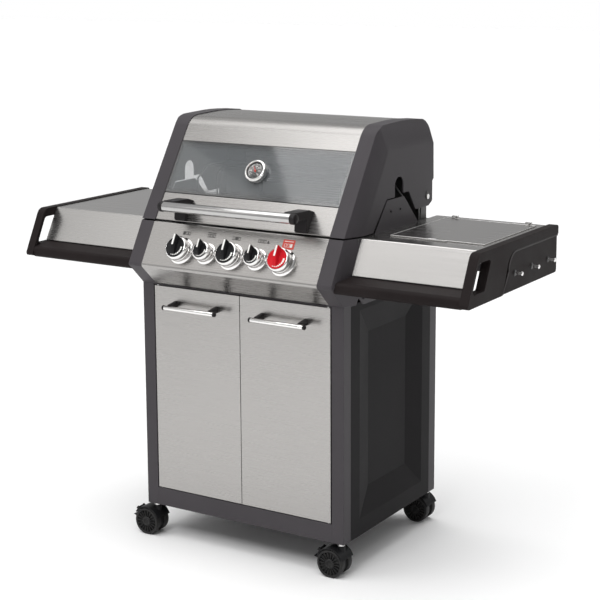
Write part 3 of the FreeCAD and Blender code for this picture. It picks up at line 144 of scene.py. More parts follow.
class Finish(Graph):
    """One procedural material: its shader and the patterns that feed it."""

    def __init__(self, name, **sockets):
        self.material = bpy.data.materials.new(name)
        self.material.use_nodes = True
        super().__init__(self.material.node_tree)
        self.shader = self.tree.nodes["Principled BSDF"]
        for socket, value in sockets.items():
            self.set(socket.replace("_", " "), value)

    def set(self, socket, value):
        if isinstance(value, tuple) and len(value) == 3:
            value = (*value, 1.0)
        self.feed(self.shader.inputs[socket], value)

    def place(self, scale=(1, 1, 1), turn=(0, 0, 0)):
        """The piece's own coordinates, turned and scaled."""
        here = self.node("ShaderNodeTexCoord", output="Object")
        return self.node("ShaderNodeMapping", {}, {"Vector": here, "Rotation": turn, "Scale": scale})

    def noise(self, where, scale, detail=2.0):
        return self.node("ShaderNodeTexNoise", {}, {"Vector": where, "Scale": scale, "Detail": detail})

    def cells(self, where, scale, output="Distance"):
        return self.node("ShaderNodeTexVoronoi", {}, {"Vector": where, "Scale": scale}, output)

    def spread(self, value, low, high):
        """Stretches the middle of a pattern over the range from low to high."""
        return self.node("ShaderNodeMapRange", {}, {
            "Value": value, "From Min": 0.3, "From Max": 0.7, "To Min": low, "To Max": high})

    def blend(self, factor, first, second):
        """Colour between two others."""
        first, second = [(*c, 1.0) if isinstance(c, tuple) else c for c in (first, second)]
        return self.node("ShaderNodeMix", {"data_type": "RGBA"}, {0: factor, 6: first, 7: second}, 2)

    def mottle(self, pattern, dark, light):
        """Base colour that drifts between two tones."""
        self.set("Base Color", self.blend(self.spread(pattern, 0.0, 1.0), dark, light))

    def relief(self, height, depth, edge=0.0, strength=1.0):
        """Bump of a given depth in metres, over edges softened by a small radius."""
        inputs = {"Height": height, "Distance": depth, "Strength": strength}
        if edge:
            inputs["Normal"] = self.node("ShaderNodeBevel", {"samples": 4}, {"Radius": edge})
        self.set("Normal", self.node("ShaderNodeBump", {}, inputs))
        return self

    def paint(self, *names):
        """Gives this finish to CAD nodes."""
        for name in names:
            for holder in nodes[name].material_slots:
                holder.material = self.material
            if not nodes[name].material_slots:
                nodes[name].data.materials.append(self.material)


def shade(colour, factor):
    return tuple(c * factor for c in colour)


# ------------------------------------------------------------------ finishes
def brushed_steel(name, grain=X_AXIS, colour=(0.390, 0.379, 0.369), rough=0.27):
    """Stainless sheet with a fine brushed grain along one axis, longer streaks and faint clouds."""
    made = Finish(name, Metallic=1.0)
    fine = [1.0 if along else 260.0 for along in grain]
    coarse = [0.35 if along else 34.0 for along in grain]
    hair = made.noise(made.place(tuple(fine)), 6.0, 3.0)
    streak = made.noise(made.place(tuple(coarse)), 5.0, 2.0)
    cloud = made.noise(made.place(), 3.2, 2.0)
    made.set("Roughness", rough + made.spread(hair, -0.03, 0.03) + made.spread(streak, -0.014, 0.014)
             + made.spread(cloud, -0.02, 0.025))
    light = shade(colour, 1.025)
    dark = shade(colour, 0.965)
    made.mottle(streak * 0.4 + hair * 0.6, dark, light)
    return made.relief(hair * 0.85 + streak * 0.15, 0.000024, 0.0012, 0.35)


def powder_coat(name, colour, rough=0.42, sheen=0.18):
    """Baked paint with fine orange peel and a slight cloud of tone."""
    made = Finish(name, Specular_IOR_Level=sheen)
    peel = made.noise(made.place(), 620.0, 2.0)
    cloud = made.noise(made.place(), 5.0, 3.0)
    darker = shade(colour, 0.86)
    made.mottle(cloud, darker, colour)
    made.set("Roughness", rough + made.spread(peel, -0.05, 0.05) + made.spread(cloud, -0.03, 0.03))
    return made.relief(peel, 0.00008, 0.0016, 0.55)


def moulded_plastic(name, colour, rough=0.5, grain=900.0, edge=0.0012, sheen=0.16):
    """Plastic with a fine spark-eroded texture."""
    made = Finish(name, Specular_IOR_Level=sheen)
    pits = made.cells(made.place(), grain)
    cloud = made.noise(made.place(), 14.0, 3.0)
    made.mottle(cloud, shade(colour, 0.82), colour)
    made.set("Roughness", rough + made.spread(cloud, -0.05, 0.05))
    return made.relief(pits, 0.00008, edge, 0.6)


def chrome_plate(name, rough=0.09, colour=(0.80, 0.79, 0.78)):
    """Bright plating with a faint haze of handling."""
    made = Finish(name, Metallic=1.0, Base_Color=colour)
    haze = made.noise(made.place(), 38.0, 4.0)
    made.set("Roughness", rough + made.spread(haze, -0.02, 0.05))
    return made.relief(haze, 0.00003, 0.0006, 0.3)


def gloss_plastic(name, colour, coat=0.06):
    """Smooth lacquered plastic of a control knob."""
    made = Finish(name, Coat_Weight=coat, Coat_Roughness=0.08, Specular_IOR_Level=0.12)
    wave = made.noise(made.place(), 90.0, 2.0)
    made.mottle(wave, shade(colour, 0.88), colour)
    made.set("Roughness", 0.22 + made.spread(wave, -0.04, 0.06))
    return made.relief(wave, 0.00004, 0.0006, 0.35)


def cast_iron(name):
    """Enamelled cast iron, matt and uneven."""
    made = Finish(name, Specular_IOR_Level=0.4)
    sand = made.noise(made.place(), 420.0, 4.0)
    patch = made.noise(made.place(), 26.0, 3.0)
    made.mottle(patch, (0.012, 0.012, 0.012), (0.034, 0.032, 0.030))
    made.set("Roughness", 0.55 + made.spread(patch, -0.1, 0.12))
    return made.relief(sand, 0.0003, 0.0012, 0.7)


def vitreous_enamel(name):
    """Dark grey enamel with light speckles, as inside the firebox."""
    made = Finish(name)
    speck = made.cells(made.place(), 340.0)
    fog = made.noise(made.place(), 9.0, 3.0)
    spots = speck < 0.16
    ground = made.blend(made.spread(fog, 0.0, 1.0), (0.030, 0.030, 0.031), (0.055, 0.054, 0.053))
    made.set("Base Color", made.blend(spots, ground, (0.16, 0.155, 0.15)))
    made.set("Roughness", 0.3 + made.spread(fog, -0.05, 0.1))
    return made.relief(fog, 0.0002, 0.0012, 0.4)


def galvanised(name):
    """Zinc-plated steel with pale spangles."""
    made = Finish(name, Metallic=0.9)
    spangle = made.cells(made.place(), 130.0, "Color")
    tone = made.axes(spangle)[0]
    made.set("Base Color", made.blend(tone, (0.36, 0.37, 0.38), (0.50, 0.51, 0.52)))
    made.set("Roughness", 0.38 + tone * 0.16)
    return made.relief(tone, 0.00006, 0.0008, 0.4)


def ceramic_tile(name):
    """Infrared burner tile: cream ceramic pierced by rows of small flame holes."""
    made = Finish(name, Roughness=0.85)
    across, _, height = made.axes(made.place())
    pitch = 0.0066

    def centred(value, step):
        return abs(value.math("FLOORED_MODULO", value / step, 1.0) - 0.5)

    row = centred(height, pitch)
    column = centred(across, pitch)
    hole = (row * row + column * column) < 0.055
    grit = made.noise(made.place(), 300.0, 3.0)
    cream = made.blend(made.spread(grit, 0.0, 1.0), (0.62, 0.59, 0.53), (0.74, 0.71, 0.65))
    # The flame holes are coloured near black: painted shade inside them.
    made.set("Base Color", made.blend(hole, cream, (0.03, 0.028, 0.025)))
    return made.relief(grit - hole, 0.0006, 0.0, 0.8)


def window_glass(name):
    """Grey tinted glass whose border is printed with dots that shrink inwards."""
    made = Finish(name, Specular_IOR_Level=1.0, IOR=1.7)
    low, high = [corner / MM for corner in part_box("lid_glass")]
    rise = math.hypot(high.y - low.y, high.z - low.z)
    across, depth, height = made.axes(made.place((1 / MM, 1 / MM, 1 / MM)))
    up = (depth - low.y) * ((high.y - low.y) / rise) + (height - low.z) * ((high.z - low.z) / rise)
    side = high.x - abs(across)
    edge = side.math("MINIMUM", side * 1.7, side.math("MINIMUM", up, rise - up))
    pitch = 5.6
    row_height = math.sqrt(3) / 2
    fade = 30.0
    solid_band = 5.0
    rows = up / (pitch * row_height)
    row = rows.math("FLOOR", rows)
    odd = row.math("FLOORED_MODULO", row, 2.0)
    u = across / pitch + odd * 0.5
    du = u.math("FLOORED_MODULO", u, 1.0) - 0.5
    dv = (rows - row - 0.5) * row_height
    reach = (1.0 - edge / fade) * 0.5
    dot = (du * du + dv * dv).math("SQRT", du * du + dv * dv) < reach
    band = edge < solid_band
    print_mask = dot.math("MAXIMUM", dot, band)
    made.set("Base Color", made.blend(print_mask, (0.135, 0.147, 0.155), (0.010, 0.010, 0.011)))
    made.set("Alpha", print_mask * 0.52 + 0.42)
    smear = made.noise(made.place(), 7.0, 3.0)
    made.set("Roughness", 0.03 + made.spread(smear, 0.0, 0.06))
    return made


def rubber_tread(name):
    """Hard castor tread, slightly dusty."""
    made = Finish(name, Specular_IOR_Level=0.25)
    dust = made.noise(made.place(), 55.0, 4.0)
    made.mottle(dust, (0.009, 0.009, 0.010), (0.026, 0.025, 0.024))
    made.set("Roughness", 0.5 + made.spread(dust, -0.08, 0.12))
    return made.relief(dust, 0.0001, 0.0008, 0.5)


def printed_ink(name, colour, rough=0.45):
    """Screen-printed ink, slightly uneven."""
    made = Finish(name)
    grain = made.noise(made.place(), 500.0, 2.0)
    made.mottle(grain, shade(colour, 0.85), colour)
    made.set("Roughness", rough + made.spread(grain, -0.05, 0.05))
    return made


STEEL = brushed_steel("brushed_steel_level", X_AXIS, (0.375, 0.364, 0.354))
# A lighter copy of the brushed steel: painted light on the upward-facing shelf tops and burner cover.
LIT_TOPS_STEEL = brushed_steel("brushed_steel_lit_tops", X_AXIS, (0.47, 0.46, 0.45), 0.24)
ANTHRACITE = powder_coat("anthracite_paint", (0.053, 0.048, 0.053))
# A darker copy of the anthracite paint: painted shade for the cabinet's recessed side panels.
SHADED_ANTHRACITE = powder_coat("anthracite_painted_shade", (0.0145, 0.0135, 0.0145), 0.5, 0.06)
TRIM = moulded_plastic("dark_plastic", (0.0165, 0.0128, 0.0128), 0.5, sheen=0.06)
RACK = chrome_plate("rack_plating", 0.3, (0.22, 0.22, 0.22))
HOOK = chrome_plate("hook_plating", 0.26, (0.86, 0.85, 0.84))
# Bright plating for the cover's edge bead and notch lip: painted highlight, brighter than the cover's own
# steel.
EDGE_HIGHLIGHT = chrome_plate("cover_edge", 0.3, (0.90, 0.89, 0.88))
BRACKET = moulded_plastic("bracket_plastic", (0.017, 0.015, 0.016), 0.36)
CHROME = chrome_plate("chrome")
BAR_STEEL = chrome_plate("bar_steel", 0.15, (0.47, 0.465, 0.46))
SATIN_CHROME = chrome_plate("satin_chrome", 0.2, (0.70, 0.69, 0.68))
KNOB_BLACK = gloss_plastic("knob_black", (0.012, 0.012, 0.013))
KNOB_RED = gloss_plastic("knob_red", (0.56, 0.010, 0.018))
IRON = cast_iron("cast_grate")
ENAMEL = vitreous_enamel("black_enamel")
ZINC = galvanised("zinc_steel")
TILE = ceramic_tile("ceramic_tile")
FIELD = moulded_plastic("cap_rim", (0.024, 0.020, 0.020), 0.42, sheen=0.14)
GLASS = window_glass("window_glass")
CASTOR = moulded_plastic("castor_plastic", (0.011, 0.011, 0.012), 0.4, 700.0, 0.0008)
TREAD = rubber_tread("castor_wheel")
BRASS = chrome_plate("brass_fitting", 0.26, (0.70, 0.50, 0.24))
WHITE_INK = printed_ink("white_ink", (0.86, 0.85, 0.82))
DARK_INK = printed_ink("dark_ink", (0.060, 0.058, 0.056))
RED_INK = printed_ink("red_ink", (0.62, 0.055, 0.035))
DIAL_BLACK = printed_ink("dial_black", (0.014, 0.014, 0.015), 0.35)


# ------------------------------------------------------------------ modelling
def deselect():
    for piece in bpy.context.selected_objects:
        piece.select_set(False)


def work_on(piece):
    """Makes one piece the only selected one."""
    deselect()
    piece.select_set(True)
    bpy.context.view_layer.objects.active = piece


def started(name):
    """Takes the primitive that was just added and settles its size into its mesh."""
    piece = bpy.context.active_object
    piece.name = name
    bpy.ops.object.transform_apply(location=True, rotation=True, scale=True)
    return piece


def apply_modifier(piece, kind, **settings):
    work_on(piece)
    modifier = piece.modifiers.new(kind.lower(), kind)
    for key, value in settings.items():
        setattr(modifier, key, value)
    bpy.ops.object.modifier_apply(modifier=modifier.name)


def round_edges(piece, width, segments=2, angle=30.0):
    apply_modifier(piece, "BEVEL", width=width * MM, segments=segments, limit_method="ANGLE",
                   angle_limit=math.radians(angle))
    smooth(piece, 40.0)
    apply_modifier(piece, "WEIGHTED_NORMAL", weight=100, keep_sharp=True)


def smooth(piece, angle=32.0):
    work_on(piece)
    bpy.ops.object.shade_smooth_by_angle(angle=math.radians(angle))


def turned(name, profile, steps=48, edge=0.4):
    """Closed solid turned about Z, drawn up through (radius, height) pairs in millimetres."""
    deselect()
    radius, height = profile[0]
    bpy.ops.mesh.primitive_circle_add(vertices=steps, radius=radius * MM, fill_type="NGON",
                                      location=(0, 0, height * MM))
    piece = started(name)
    bpy.ops.object.mode_set(mode="EDIT")
    bpy.ops.mesh.select_all(action="SELECT")
    for (r0, z0), (r1, z1) in zip(profile, profile[1:]):
        bpy.ops.mesh.extrude_region_move(TRANSFORM_OT_translate={"value": (0, 0, (z1 - z0) * MM)})
        bpy.ops.transform.resize(value=(r1 / r0, r1 / r0, 1), center_override=(0, 0, z1 * MM))
    bpy.ops.mesh.select_all(action="SELECT")
    bpy.ops.mesh.normals_make_consistent(inside=False)
    bpy.ops.object.mode_set(mode="OBJECT")
    if edge:
        round_edges(piece, edge)
    else:
        smooth(piece)
    return piece


def block(name, size, middle=(0, 0, 0), edge=0.5, segments=2):
    """Rounded block of a given size about its middle."""
    deselect()
    bpy.ops.mesh.primitive_cube_add(size=1, location=Vector(middle) * MM, scale=Vector(size) * MM)
    piece = started(name)
    if edge:
        round_edges(piece, edge, segments)
    return piece


def slab(name, points, low, high, edge=0.3):
    """Plate with a given outline in XY, between two heights."""
    deselect()
    bpy.ops.mesh.primitive_circle_add(vertices=len(points), radius=MM, fill_type="NGON")
    piece = started(name)
    for vertex, (x, y) in zip(piece.data.vertices, points):
        vertex.co = Vector((x, y, low)) * MM
    bpy.ops.object.mode_set(mode="EDIT")
    bpy.ops.mesh.select_all(action="SELECT")
    bpy.ops.mesh.extrude_region_move(TRANSFORM_OT_translate={"value": (0, 0, (high - low) * MM)})
    bpy.ops.mesh.select_all(action="SELECT")
    bpy.ops.mesh.normals_make_consistent(inside=False)
    bpy.ops.object.mode_set(mode="OBJECT")
    if edge:
        round_edges(piece, edge)
    return piece


def taper(piece, test, factors, centre):
    """Scales the points of a piece that pass a test, about a centre in millimetres."""
    work_on(piece)
    for vertex in piece.data.vertices:
        vertex.select = test(vertex.co / MM)
    for group in (piece.data.edges, piece.data.polygons):
        for item in group:
            item.select = all(piece.data.vertices[v].select for v in item.vertices)
    bpy.ops.object.mode_set(mode="EDIT")
    bpy.ops.mesh.select_mode(type="VERT")
    bpy.ops.transform.resize(value=factors, center_override=Vector(centre) * MM)
    bpy.ops.object.mode_set(mode="OBJECT")


def joined(name, pieces):
    """Several pieces of one finish as one."""
    work_on(pieces[0])
    for piece in pieces:
        piece.select_set(True)
    bpy.ops.object.join()
    whole = bpy.context.active_object
    whole.name = name
    return whole


def copied(piece, name, matrix=Matrix()):
    """Copy with its own mesh, moved to its place."""
    twin = piece.copy()
    twin.data = piece.data.copy()
    twin.name = name
    bpy.context.scene.collection.objects.link(twin)
    twin.data.transform(matrix)
    return twin


def moved(piece, matrix):
    piece.data.transform(matrix)
    return piece


def shift(x, y, z):
    """Matrix that moves by a distance in millimetres."""
    return Matrix.Translation(Vector((x, y, z)) * MM)


def fitted(piece, body, finish, slot, *stands_for):
    """Gives a piece its finish and body; the slot argument is not used."""
    piece.data.materials.clear()
    piece.data.materials.append(finish.material)
    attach(piece, body)
    if stands_for:
        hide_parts(*stands_for)
    return piece


def board(origin, across, upward):
    """Frame whose X runs across a surface, Y up along it and Z out of it."""
    out = across.cross(upward).normalized()
    turn = Matrix((across.normalized(), upward.normalized(), out)).transposed().to_4x4()
    return Matrix.Translation(origin) @ turn


def along_axis(origin, axis, start=X_AXIS):
    """Frame at a point whose Z runs along an axis."""
    axis = Vector(axis).normalized()
    across = start if abs(axis.dot(start)) < 0.9 else Y_AXIS
    upward = axis.cross(across).normalized()
    return board(origin, upward.cross(axis), upward)


def softened(node, finish, body, slot, width, segments=2, angle=30.0):
    """Stands for a thick CAD part, the same shape with its sharp edges rounded."""
    piece = nodes[node].copy()
    piece.data = nodes[node].data.copy()
    piece.name = node + "_rounded"
    piece.parent = None
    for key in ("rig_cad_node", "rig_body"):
        del piece[key]
    bpy.context.scene.collection.objects.link(piece)
    work_on(piece)
    bpy.ops.mesh.customdata_custom_splitnormals_clear()
    bpy.ops.object.mode_set(mode="EDIT")
    bpy.ops.mesh.select_all(action="SELECT")
    bpy.ops.mesh.remove_doubles(threshold=0.01 * MM)
    bpy.ops.mesh.dissolve_limited(angle_limit=math.radians(0.6))
    bpy.ops.object.mode_set(mode="OBJECT")
    round_edges(piece, width, segments, angle)
    return fitted(piece, body, finish, slot, node)


# ------------------------------------------------------------------ carried-over parts
def paint_frame():
    """Finishes for the parts that keep their CAD shape."""
    STEEL.paint("control_panel", "right_door", "left_door", "lid_skin", "lid_strip", "rear_burner",
                "flame_tamers", "main_burners")
    # The shelf tops and the burner's cover take the lighter copy of the steel, painted light.
    LIT_TOPS_STEEL.paint("left_shelf_skin", "right_shelf_skin", "side_burner_cover")
    ANTHRACITE.paint("posts", "frame_rails", "body_cheeks", "lid_sides", "bottom_shelf")
    # The cabinet panels take the darker copy of the paint, painted shade in their recess.
    SHADED_ANTHRACITE.paint("cabinet_panels")
    TRIM.paint("shelf_rails", "end_caps")
    BRACKET.paint("lid_handle_brackets", "right_door_standoffs", "left_door_standoffs")
    CHROME.paint("lid_handle_bar", "right_door_handle", "left_door_handle", "utensil_hooks",
                 "lid_thermometer", "knob_bezels")
    SATIN_CHROME.paint("hinge_pins", "castor_stems")
    RACK.paint("warming_rack")
    ZINC.paint("grease_tray", "door_magnets")
    # The fasteners take the same darker copy of the anthracite paint.
    SHADED_ANTHRACITE.paint("fasteners")
    BRASS.paint("gas_manifold")
    ENAMEL.paint("firebox", "side_burner")
    IRON.paint("cooking_grates", "pan_support")
    GLASS.paint("lid_glass")
    for k in range(1, KNOB_COUNT + 1):
        SATIN_CHROME.paint(f"valve_stem_{k}")
        (KNOB_RED if k == RED_KNOB else KNOB_BLACK).paint(f"knob_{k}")
    for corner in CORNERS:
        CASTOR.paint(f"{corner}_castor")
        TREAD.paint(f"{corner}_wheels")
    CASTOR.paint("front_left_brake", "front_right_brake")


# ------------------------------------------------------------------ controls
def knob_place(k):
    """Frame on the panel at a knob's axis: Y up the panel, Z out of it."""
    turn = joints[f"knob_{k}_turn"]
    out = Vector(turn["axis"])
    return board(Vector(turn["pos_m"]), X_AXIS, out.cross(X_AXIS))


def knob_radius(k):
    low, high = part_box(f"knob_{k}")
    return (high.x - low.x) / 2 / MM


def knob(k):
    """Chrome skirt, lacquered cap with a tall grip blade, white pointer and a fan of dots."""
    place = knob_place(k)
    r = knob_radius(k)
    body = f"knob_{k}"
    skirt = turned(f"knob_skirt_{k}", [
        (r - 2.0, 18.5), (r - 0.4, 18.9), (r, 20.0), (r - 0.4, 25.0), (r - 2.0, 29.0), (r - 3.6, 30.6),
        (r - 4.8, 30.9), (r - 5.4, 30.2), (r - 5.6, 28.0)], 64, 0)
    fitted(moved(skirt, place), body, CHROME, "chrome", f"knob_{k}")
    disc = turned(f"knob_cap_{k}", [
        (r - 5.8, 27.0), (r - 5.8, 30.6), (r - 6.3, 31.8), (r - 7.4, 32.4), (r * 0.62, 31.6),
        (r * 0.3, 31.2)], 64, 0)
    tip, heel, half_width = r * 0.95, -r * 0.70, r * 0.16
    blade = slab(f"knob_blade_{k}", [
        (heel, 30.0), (tip - 4.0, 30.0), (tip, 44.0), (tip - 1.4, 46.2), (r * 0.1, 45.4),
        (heel + 6.0, 37.0)],
        -half_width * 1.5, half_width * 1.5, 0)
    taper(blade, lambda p: p.y > 34, (1, 1, 0.56), (0, 0, 0))
    round_edges(blade, 1.2, 3)
    cap = joined(f"knob_cap_{k}", [disc, moved(blade, STAND)])
    smooth(cap)
    finish, slot = (KNOB_RED, "knob_red") if k == RED_KNOB else (KNOB_BLACK, "knob_black")
    fitted(moved(cap, place), body, finish, slot)
    pointer = block(f"knob_pointer_{k}", (r * 0.15, r * 0.86, 1.2), (0, r * 0.48, 46.2), 0.4)
    lift = shift(0, 0, KNOB_STAND)
    moved(pointer, lift @ Matrix.Rotation(math.radians(1.6), 4, "X") @ lift.inverted())
    dots = []
    for i in range(8):
        angle = math.radians(-2 - 14.5 * i)
        size = r * (0.088 - 0.0062 * i)
        dot = turned("dot", [(size, 32.2), (size, 32.75), (size * 0.8, 32.9)], 12, 0)
        reach = r * 0.66
        dots.append(moved(dot, shift(math.cos(angle) * reach, math.sin(angle) * reach, 0)))
    marks = joined(f"knob_marks_{k}", [pointer] + dots)
    fitted(moved(marks, place), body, WHITE_INK, "knob_black")


def bezel(k):
    """Plated ring on the panel with a stepped, flared foot."""
    r = knob_radius(k)
    ring = turned("bezel", [
        (r + 3.6, 0.0), (r + 4.0, 0.8), (r + 3.2, 2.6), (r + 0.8, 4.4), (r - 0.6, 5.2), (r - 1.4, 12.6),
        (r - 2.0, 13.8), (r - 3.4, 14.0), (r - 4.2, 13.2), (r - 4.8, 9.0)], 64, 0)
    return moved(ring, knob_place(k))


def bezels():
    whole = joined("knob_bezel_rings", [bezel(k) for k in range(1, KNOB_COUNT + 1)])
    smooth(whole)
    fitted(whole, ROOT, CHROME, "chrome", "knob_bezels")


def frame_mark(x, y, width, height, line):
    """Four thin bars round a rectangle."""
    return [
        block("bar", (width, line, 0.24), (x, y + s * (height - line) / 2, 0.1), 0) for s in (-1, 1)
    ] + [
        block("bar", (line, height, 0.24), (x + s * (width - line) / 2, y, 0.1), 0) for s in (-1, 1)
    ]


def burner_marks():
    """Pictures of the burner that each knob feeds, printed above it on the front panel."""
    dark, white = [], []
    for k in range(1, KNOB_COUNT + 1):
        place = knob_place(k)
        x, y = 2.0, 50.0
        marks = []
        if k < RED_KNOB:
            for i in (-1, 0, 1):
                marks += frame_mark(x + i * 8.4, y, 7.0, 9.4, 1.3)
        if k == 1:
            marks.append(block("fill", (6.0, 8.0, 0.3), (x - 8.4, y, 0.1), 0))
        if k == 2:
            marks.append(block("fill", (25.0, 2.4, 0.3), (x, y + 8.2, 0.1), 0))
        if k == 3:
            marks.append(block("fill", (6.0, 8.0, 0.3), (x, y, 0.1), 0))
        if k == 4:
            marks.append(slab("flame", [(x + 14.5, y - 4.5), (x + 23.5, y - 4.5), (x + 21.0, y + 1.0),
                                        (x + 19.0, y + 4.8), (x + 17.0, y + 1.0)], 0.0, 0.3, 0))
        for mark in marks:
            dark.append(moved(mark, place))
        if k == RED_KNOB:
            label = block("label", (35.0, 25.0, 0.3), (x + 1, y - 1, 0.1), 0)
            fitted(moved(label, place), ROOT, RED_INK, "knob_red").name = "panel_label"
            light = [block("fill", (27.0, 1.6, 0.5), (x + 1, y + 7.0, 0.1), 0)]
            light += [m for i in (-1, 0) for m in frame_mark(x + 1 + i * 8.6, y - 4.0, 6.8, 9.6, 0.9)]
            light.append(block("fill", (6.8, 9.6, 0.5), (x + 9.6, y - 4.0, 0.1), 0))
            for mark in light:
                white.append(moved(mark, place @ shift(0, 0, 0.2)))
    fitted(joined("panel_marks", dark), ROOT, DARK_INK, "dark_plastic")
    fitted(joined("panel_label_marks", white), ROOT, WHITE_INK, "dark_plastic")


# ------------------------------------------------------------------ lid
def lid_board():
    """Frame on the middle of the lid's front face: Y up the slope, Z out of it."""
    low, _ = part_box("lid_glass")
    slope = math.radians(LID_ANGLE)
    upward = Vector((0, math.sin(slope), math.cos(slope)))
    foot = Vector((0, low.y, low.z + upward.y * LID_FACE * MM))
    return board(foot, X_AXIS, upward)


def thermometer():
    """Gauge: chrome case, dark ring, printed dial with a scale, a red needle and a domed glass."""
    place = lid_board() @ shift(0, 76.0, 0)
    case = turned("thermometer_case", [
        (30.0, 0.4), (32.0, 1.2), (32.0, 10.0), (31.4, 13.6), (29.4, 16.4), (27.0, 17.4), (25.6, 17.2),
        (24.8, 15.8), (24.4, 12.4)], 72, 0)
    back = turned("thermometer_back", [(3.0, -48.0), (3.0, -15.4), (18.8, -15.0), (18.8, 1.0)], 36, 0.5)
    nut = turned("thermometer_nut", [(24.6, -14.0), (24.6, -6.4)], 6, 0.8)
    case = joined("thermometer_case", [case, back, nut])
    smooth(case)
    fitted(moved(case, place), "lid", CHROME, "chrome", "lid_thermometer")
    ring = turned("thermometer_dial", [
        (24.3, 11.0), (24.3, 13.0), (22.6, 13.4), (21.6, 12.9), (21.4, 12.4)], 72, 0)
    fitted(moved(ring, place), "lid", DIAL_BLACK, "dark_plastic")
    marks = []
    for i in range(25):
        angle = math.radians(225 - 270 * i / 24)
        major = i % 4 == 0
        length, width = (4.2, 1.1) if major else (2.4, 0.6)
        tick = block("tick", (length, width, 0.3), (20.4 - length / 2, 0, 12.6), 0)
        marks.append(moved(tick, Matrix.Rotation(angle, 4, "Z")))
    for i, number in enumerate(("50", "100", "150", "200", "250", "300", "350")):
        angle = math.radians(225 - 45 * i)
        deselect()
        bpy.ops.object.text_add(location=(0, 0, 0))
        text = bpy.context.active_object
        text.data.body = number
        text.data.size = 4.4 * MM
        text.data.align_x = "CENTER"
        text.data.align_y = "CENTER"
        text.data.extrude = 0.15 * MM
        bpy.ops.object.convert(target="MESH")
        figure = bpy.context.active_object
        spot = Vector((math.cos(angle) * 12.6, math.sin(angle) * 12.6, 12.65)) * MM
        marks.append(moved(figure, Matrix.Translation(spot)))
    scale = joined("thermometer_scale", marks)
    fitted(moved(scale, place), "lid", WHITE_INK, "dark_plastic")
    needle = slab("needle", [(-1.1, -5.0), (1.1, -5.0), (0.9, 3.0), (0.3, 15.0), (-0.3, 15.0), (-0.9, 3.0)],
                  13.2, 13.7, 0)
    moved(needle, Matrix.Rotation(math.radians(32), 4, "Z"))
    boss = turned("boss", [(2.6, 12.6), (2.6, 14.4), (1.8, 15.0)], 24, 0)
    needle = joined("thermometer_needle", [needle, boss])
    fitted(moved(needle, place), "lid", RED_INK, "knob_red")


def lid_handle():
    """Chrome bar with a dark rounded cap at each end."""
    low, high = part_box("lid_handle_bar")
    middle = (low + high) / 2
    r = (high.z - low.z) / 2 / MM
    reach = (high.x - low.x) / 2 / MM
    cap = 11.0
    bar = turned("lid_handle_tube", [(r - 1.0, -reach + cap), (r - 0.8, -reach + cap + 0.6),
                                     (r - 0.8, reach - cap - 0.6), (r - 1.0, reach - cap)], 56, 0)
    place = along_axis(middle, X_AXIS)
    fitted(moved(bar, place), "lid", BAR_STEEL, "chrome", "lid_handle_bar")
    caps = []
    for side in (-1, 1):
        end = turned("end", [(r - 0.4, reach - cap - 4.0), (r, reach - cap - 2.6), (r, reach - 5.0),
                             (r - 1.6, reach - 2.0), (r - 5.0, reach - 0.2), (3.0, reach)], 56, 0)
        caps.append(moved(end, along_axis(middle, X_AXIS * side)))
    ends = joined("lid_handle_ends", caps)
    smooth(ends)
    fitted(ends, "lid", BRACKET, "dark_plastic")


def door_handles():
    """Bright bar on each door with small dark end caps."""
    for side in ("left", "right"):
        low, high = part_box(f"{side}_door_handle")
        middle = (low + high) / 2
        r = (high.z - low.z) / 2 / MM
        reach = (high.x - low.x) / 2 / MM
        bar = turned(f"{side}_door_bar", [(r - 0.5, -reach + 5.0), (r - 0.3, -reach + 5.4),
                                          (r - 0.3, reach - 5.4), (r - 0.5, reach - 5.0)], 40, 0)
        moved(bar, along_axis(middle, X_AXIS))
        fitted(bar, f"{side}_door", CHROME, "chrome", f"{side}_door_handle")
        caps = []
        for way in (-1, 1):
            end = turned("end", [(r - 0.2, reach - 7.0), (r, reach - 6.2), (r, reach - 2.0),
                                 (r - 1.4, reach - 0.4), (2.0, reach)], 40, 0)
            caps.append(moved(end, along_axis(middle, X_AXIS * way)))
        ends = joined(f"{side}_door_bar_ends", caps)
        smooth(ends)
        fitted(ends, f"{side}_door", BRACKET, "dark_plastic")


# ------------------------------------------------------------------ castors
def wheel_half():
    """One wheel about Z, its outer face up: tread, slotted disc and hub."""
    r = 37.5
    wheel = turned("wheel", [
        (r - 3.0, 9.0), (r - 0.8, 9.8), (r, 12.0), (r, 25.0), (r - 0.8, 27.2), (r - 3.0, 28.0),
        (r - 6.0, 27.6), (r - 7.2, 25.6), (r - 7.8, 22.0), (14.0, 22.0), (13.2, 26.4), (11.6, 27.8),
        (9.0, 28.0), (7.4, 27.0),
        (6.8, 25.6), (3.0, 25.2)], 72, 0)
    ribs = []
    for i in range(18):
        rib = block("rib", (17.0, 1.9, 5.0), (21.6, 0, 24.6), 0.5)
        taper(rib, lambda p: p.x > 21, (1, 1.7, 1), (21, 0, 26))
        ribs.append(moved(rib, Matrix.Rotation(math.radians(20 * i), 4, "Z")))
    return joined("wheel", [wheel] + ribs)


def castor_wheels():
    pattern = wheel_half()
    smooth(pattern)
    for corner in CORNERS:
        centre = Vector(joints[f"{corner}_roll"]["pos_m"])
        halves = [copied(pattern, "half", along_axis(centre, Y_AXIS * side)) for side in (-1, 1)]
        axle = turned("axle", [(4.0, -24.0), (4.0, 24.0)], 24, 0)
        halves.append(moved(axle, along_axis(centre, Y_AXIS)))
        pair = joined(f"{corner}_wheel_pair", halves)
        fitted(pair, f"{corner}_wheels", TREAD, "castor_wheel", f"{corner}_wheels")
    bpy.data.objects.remove(pattern)


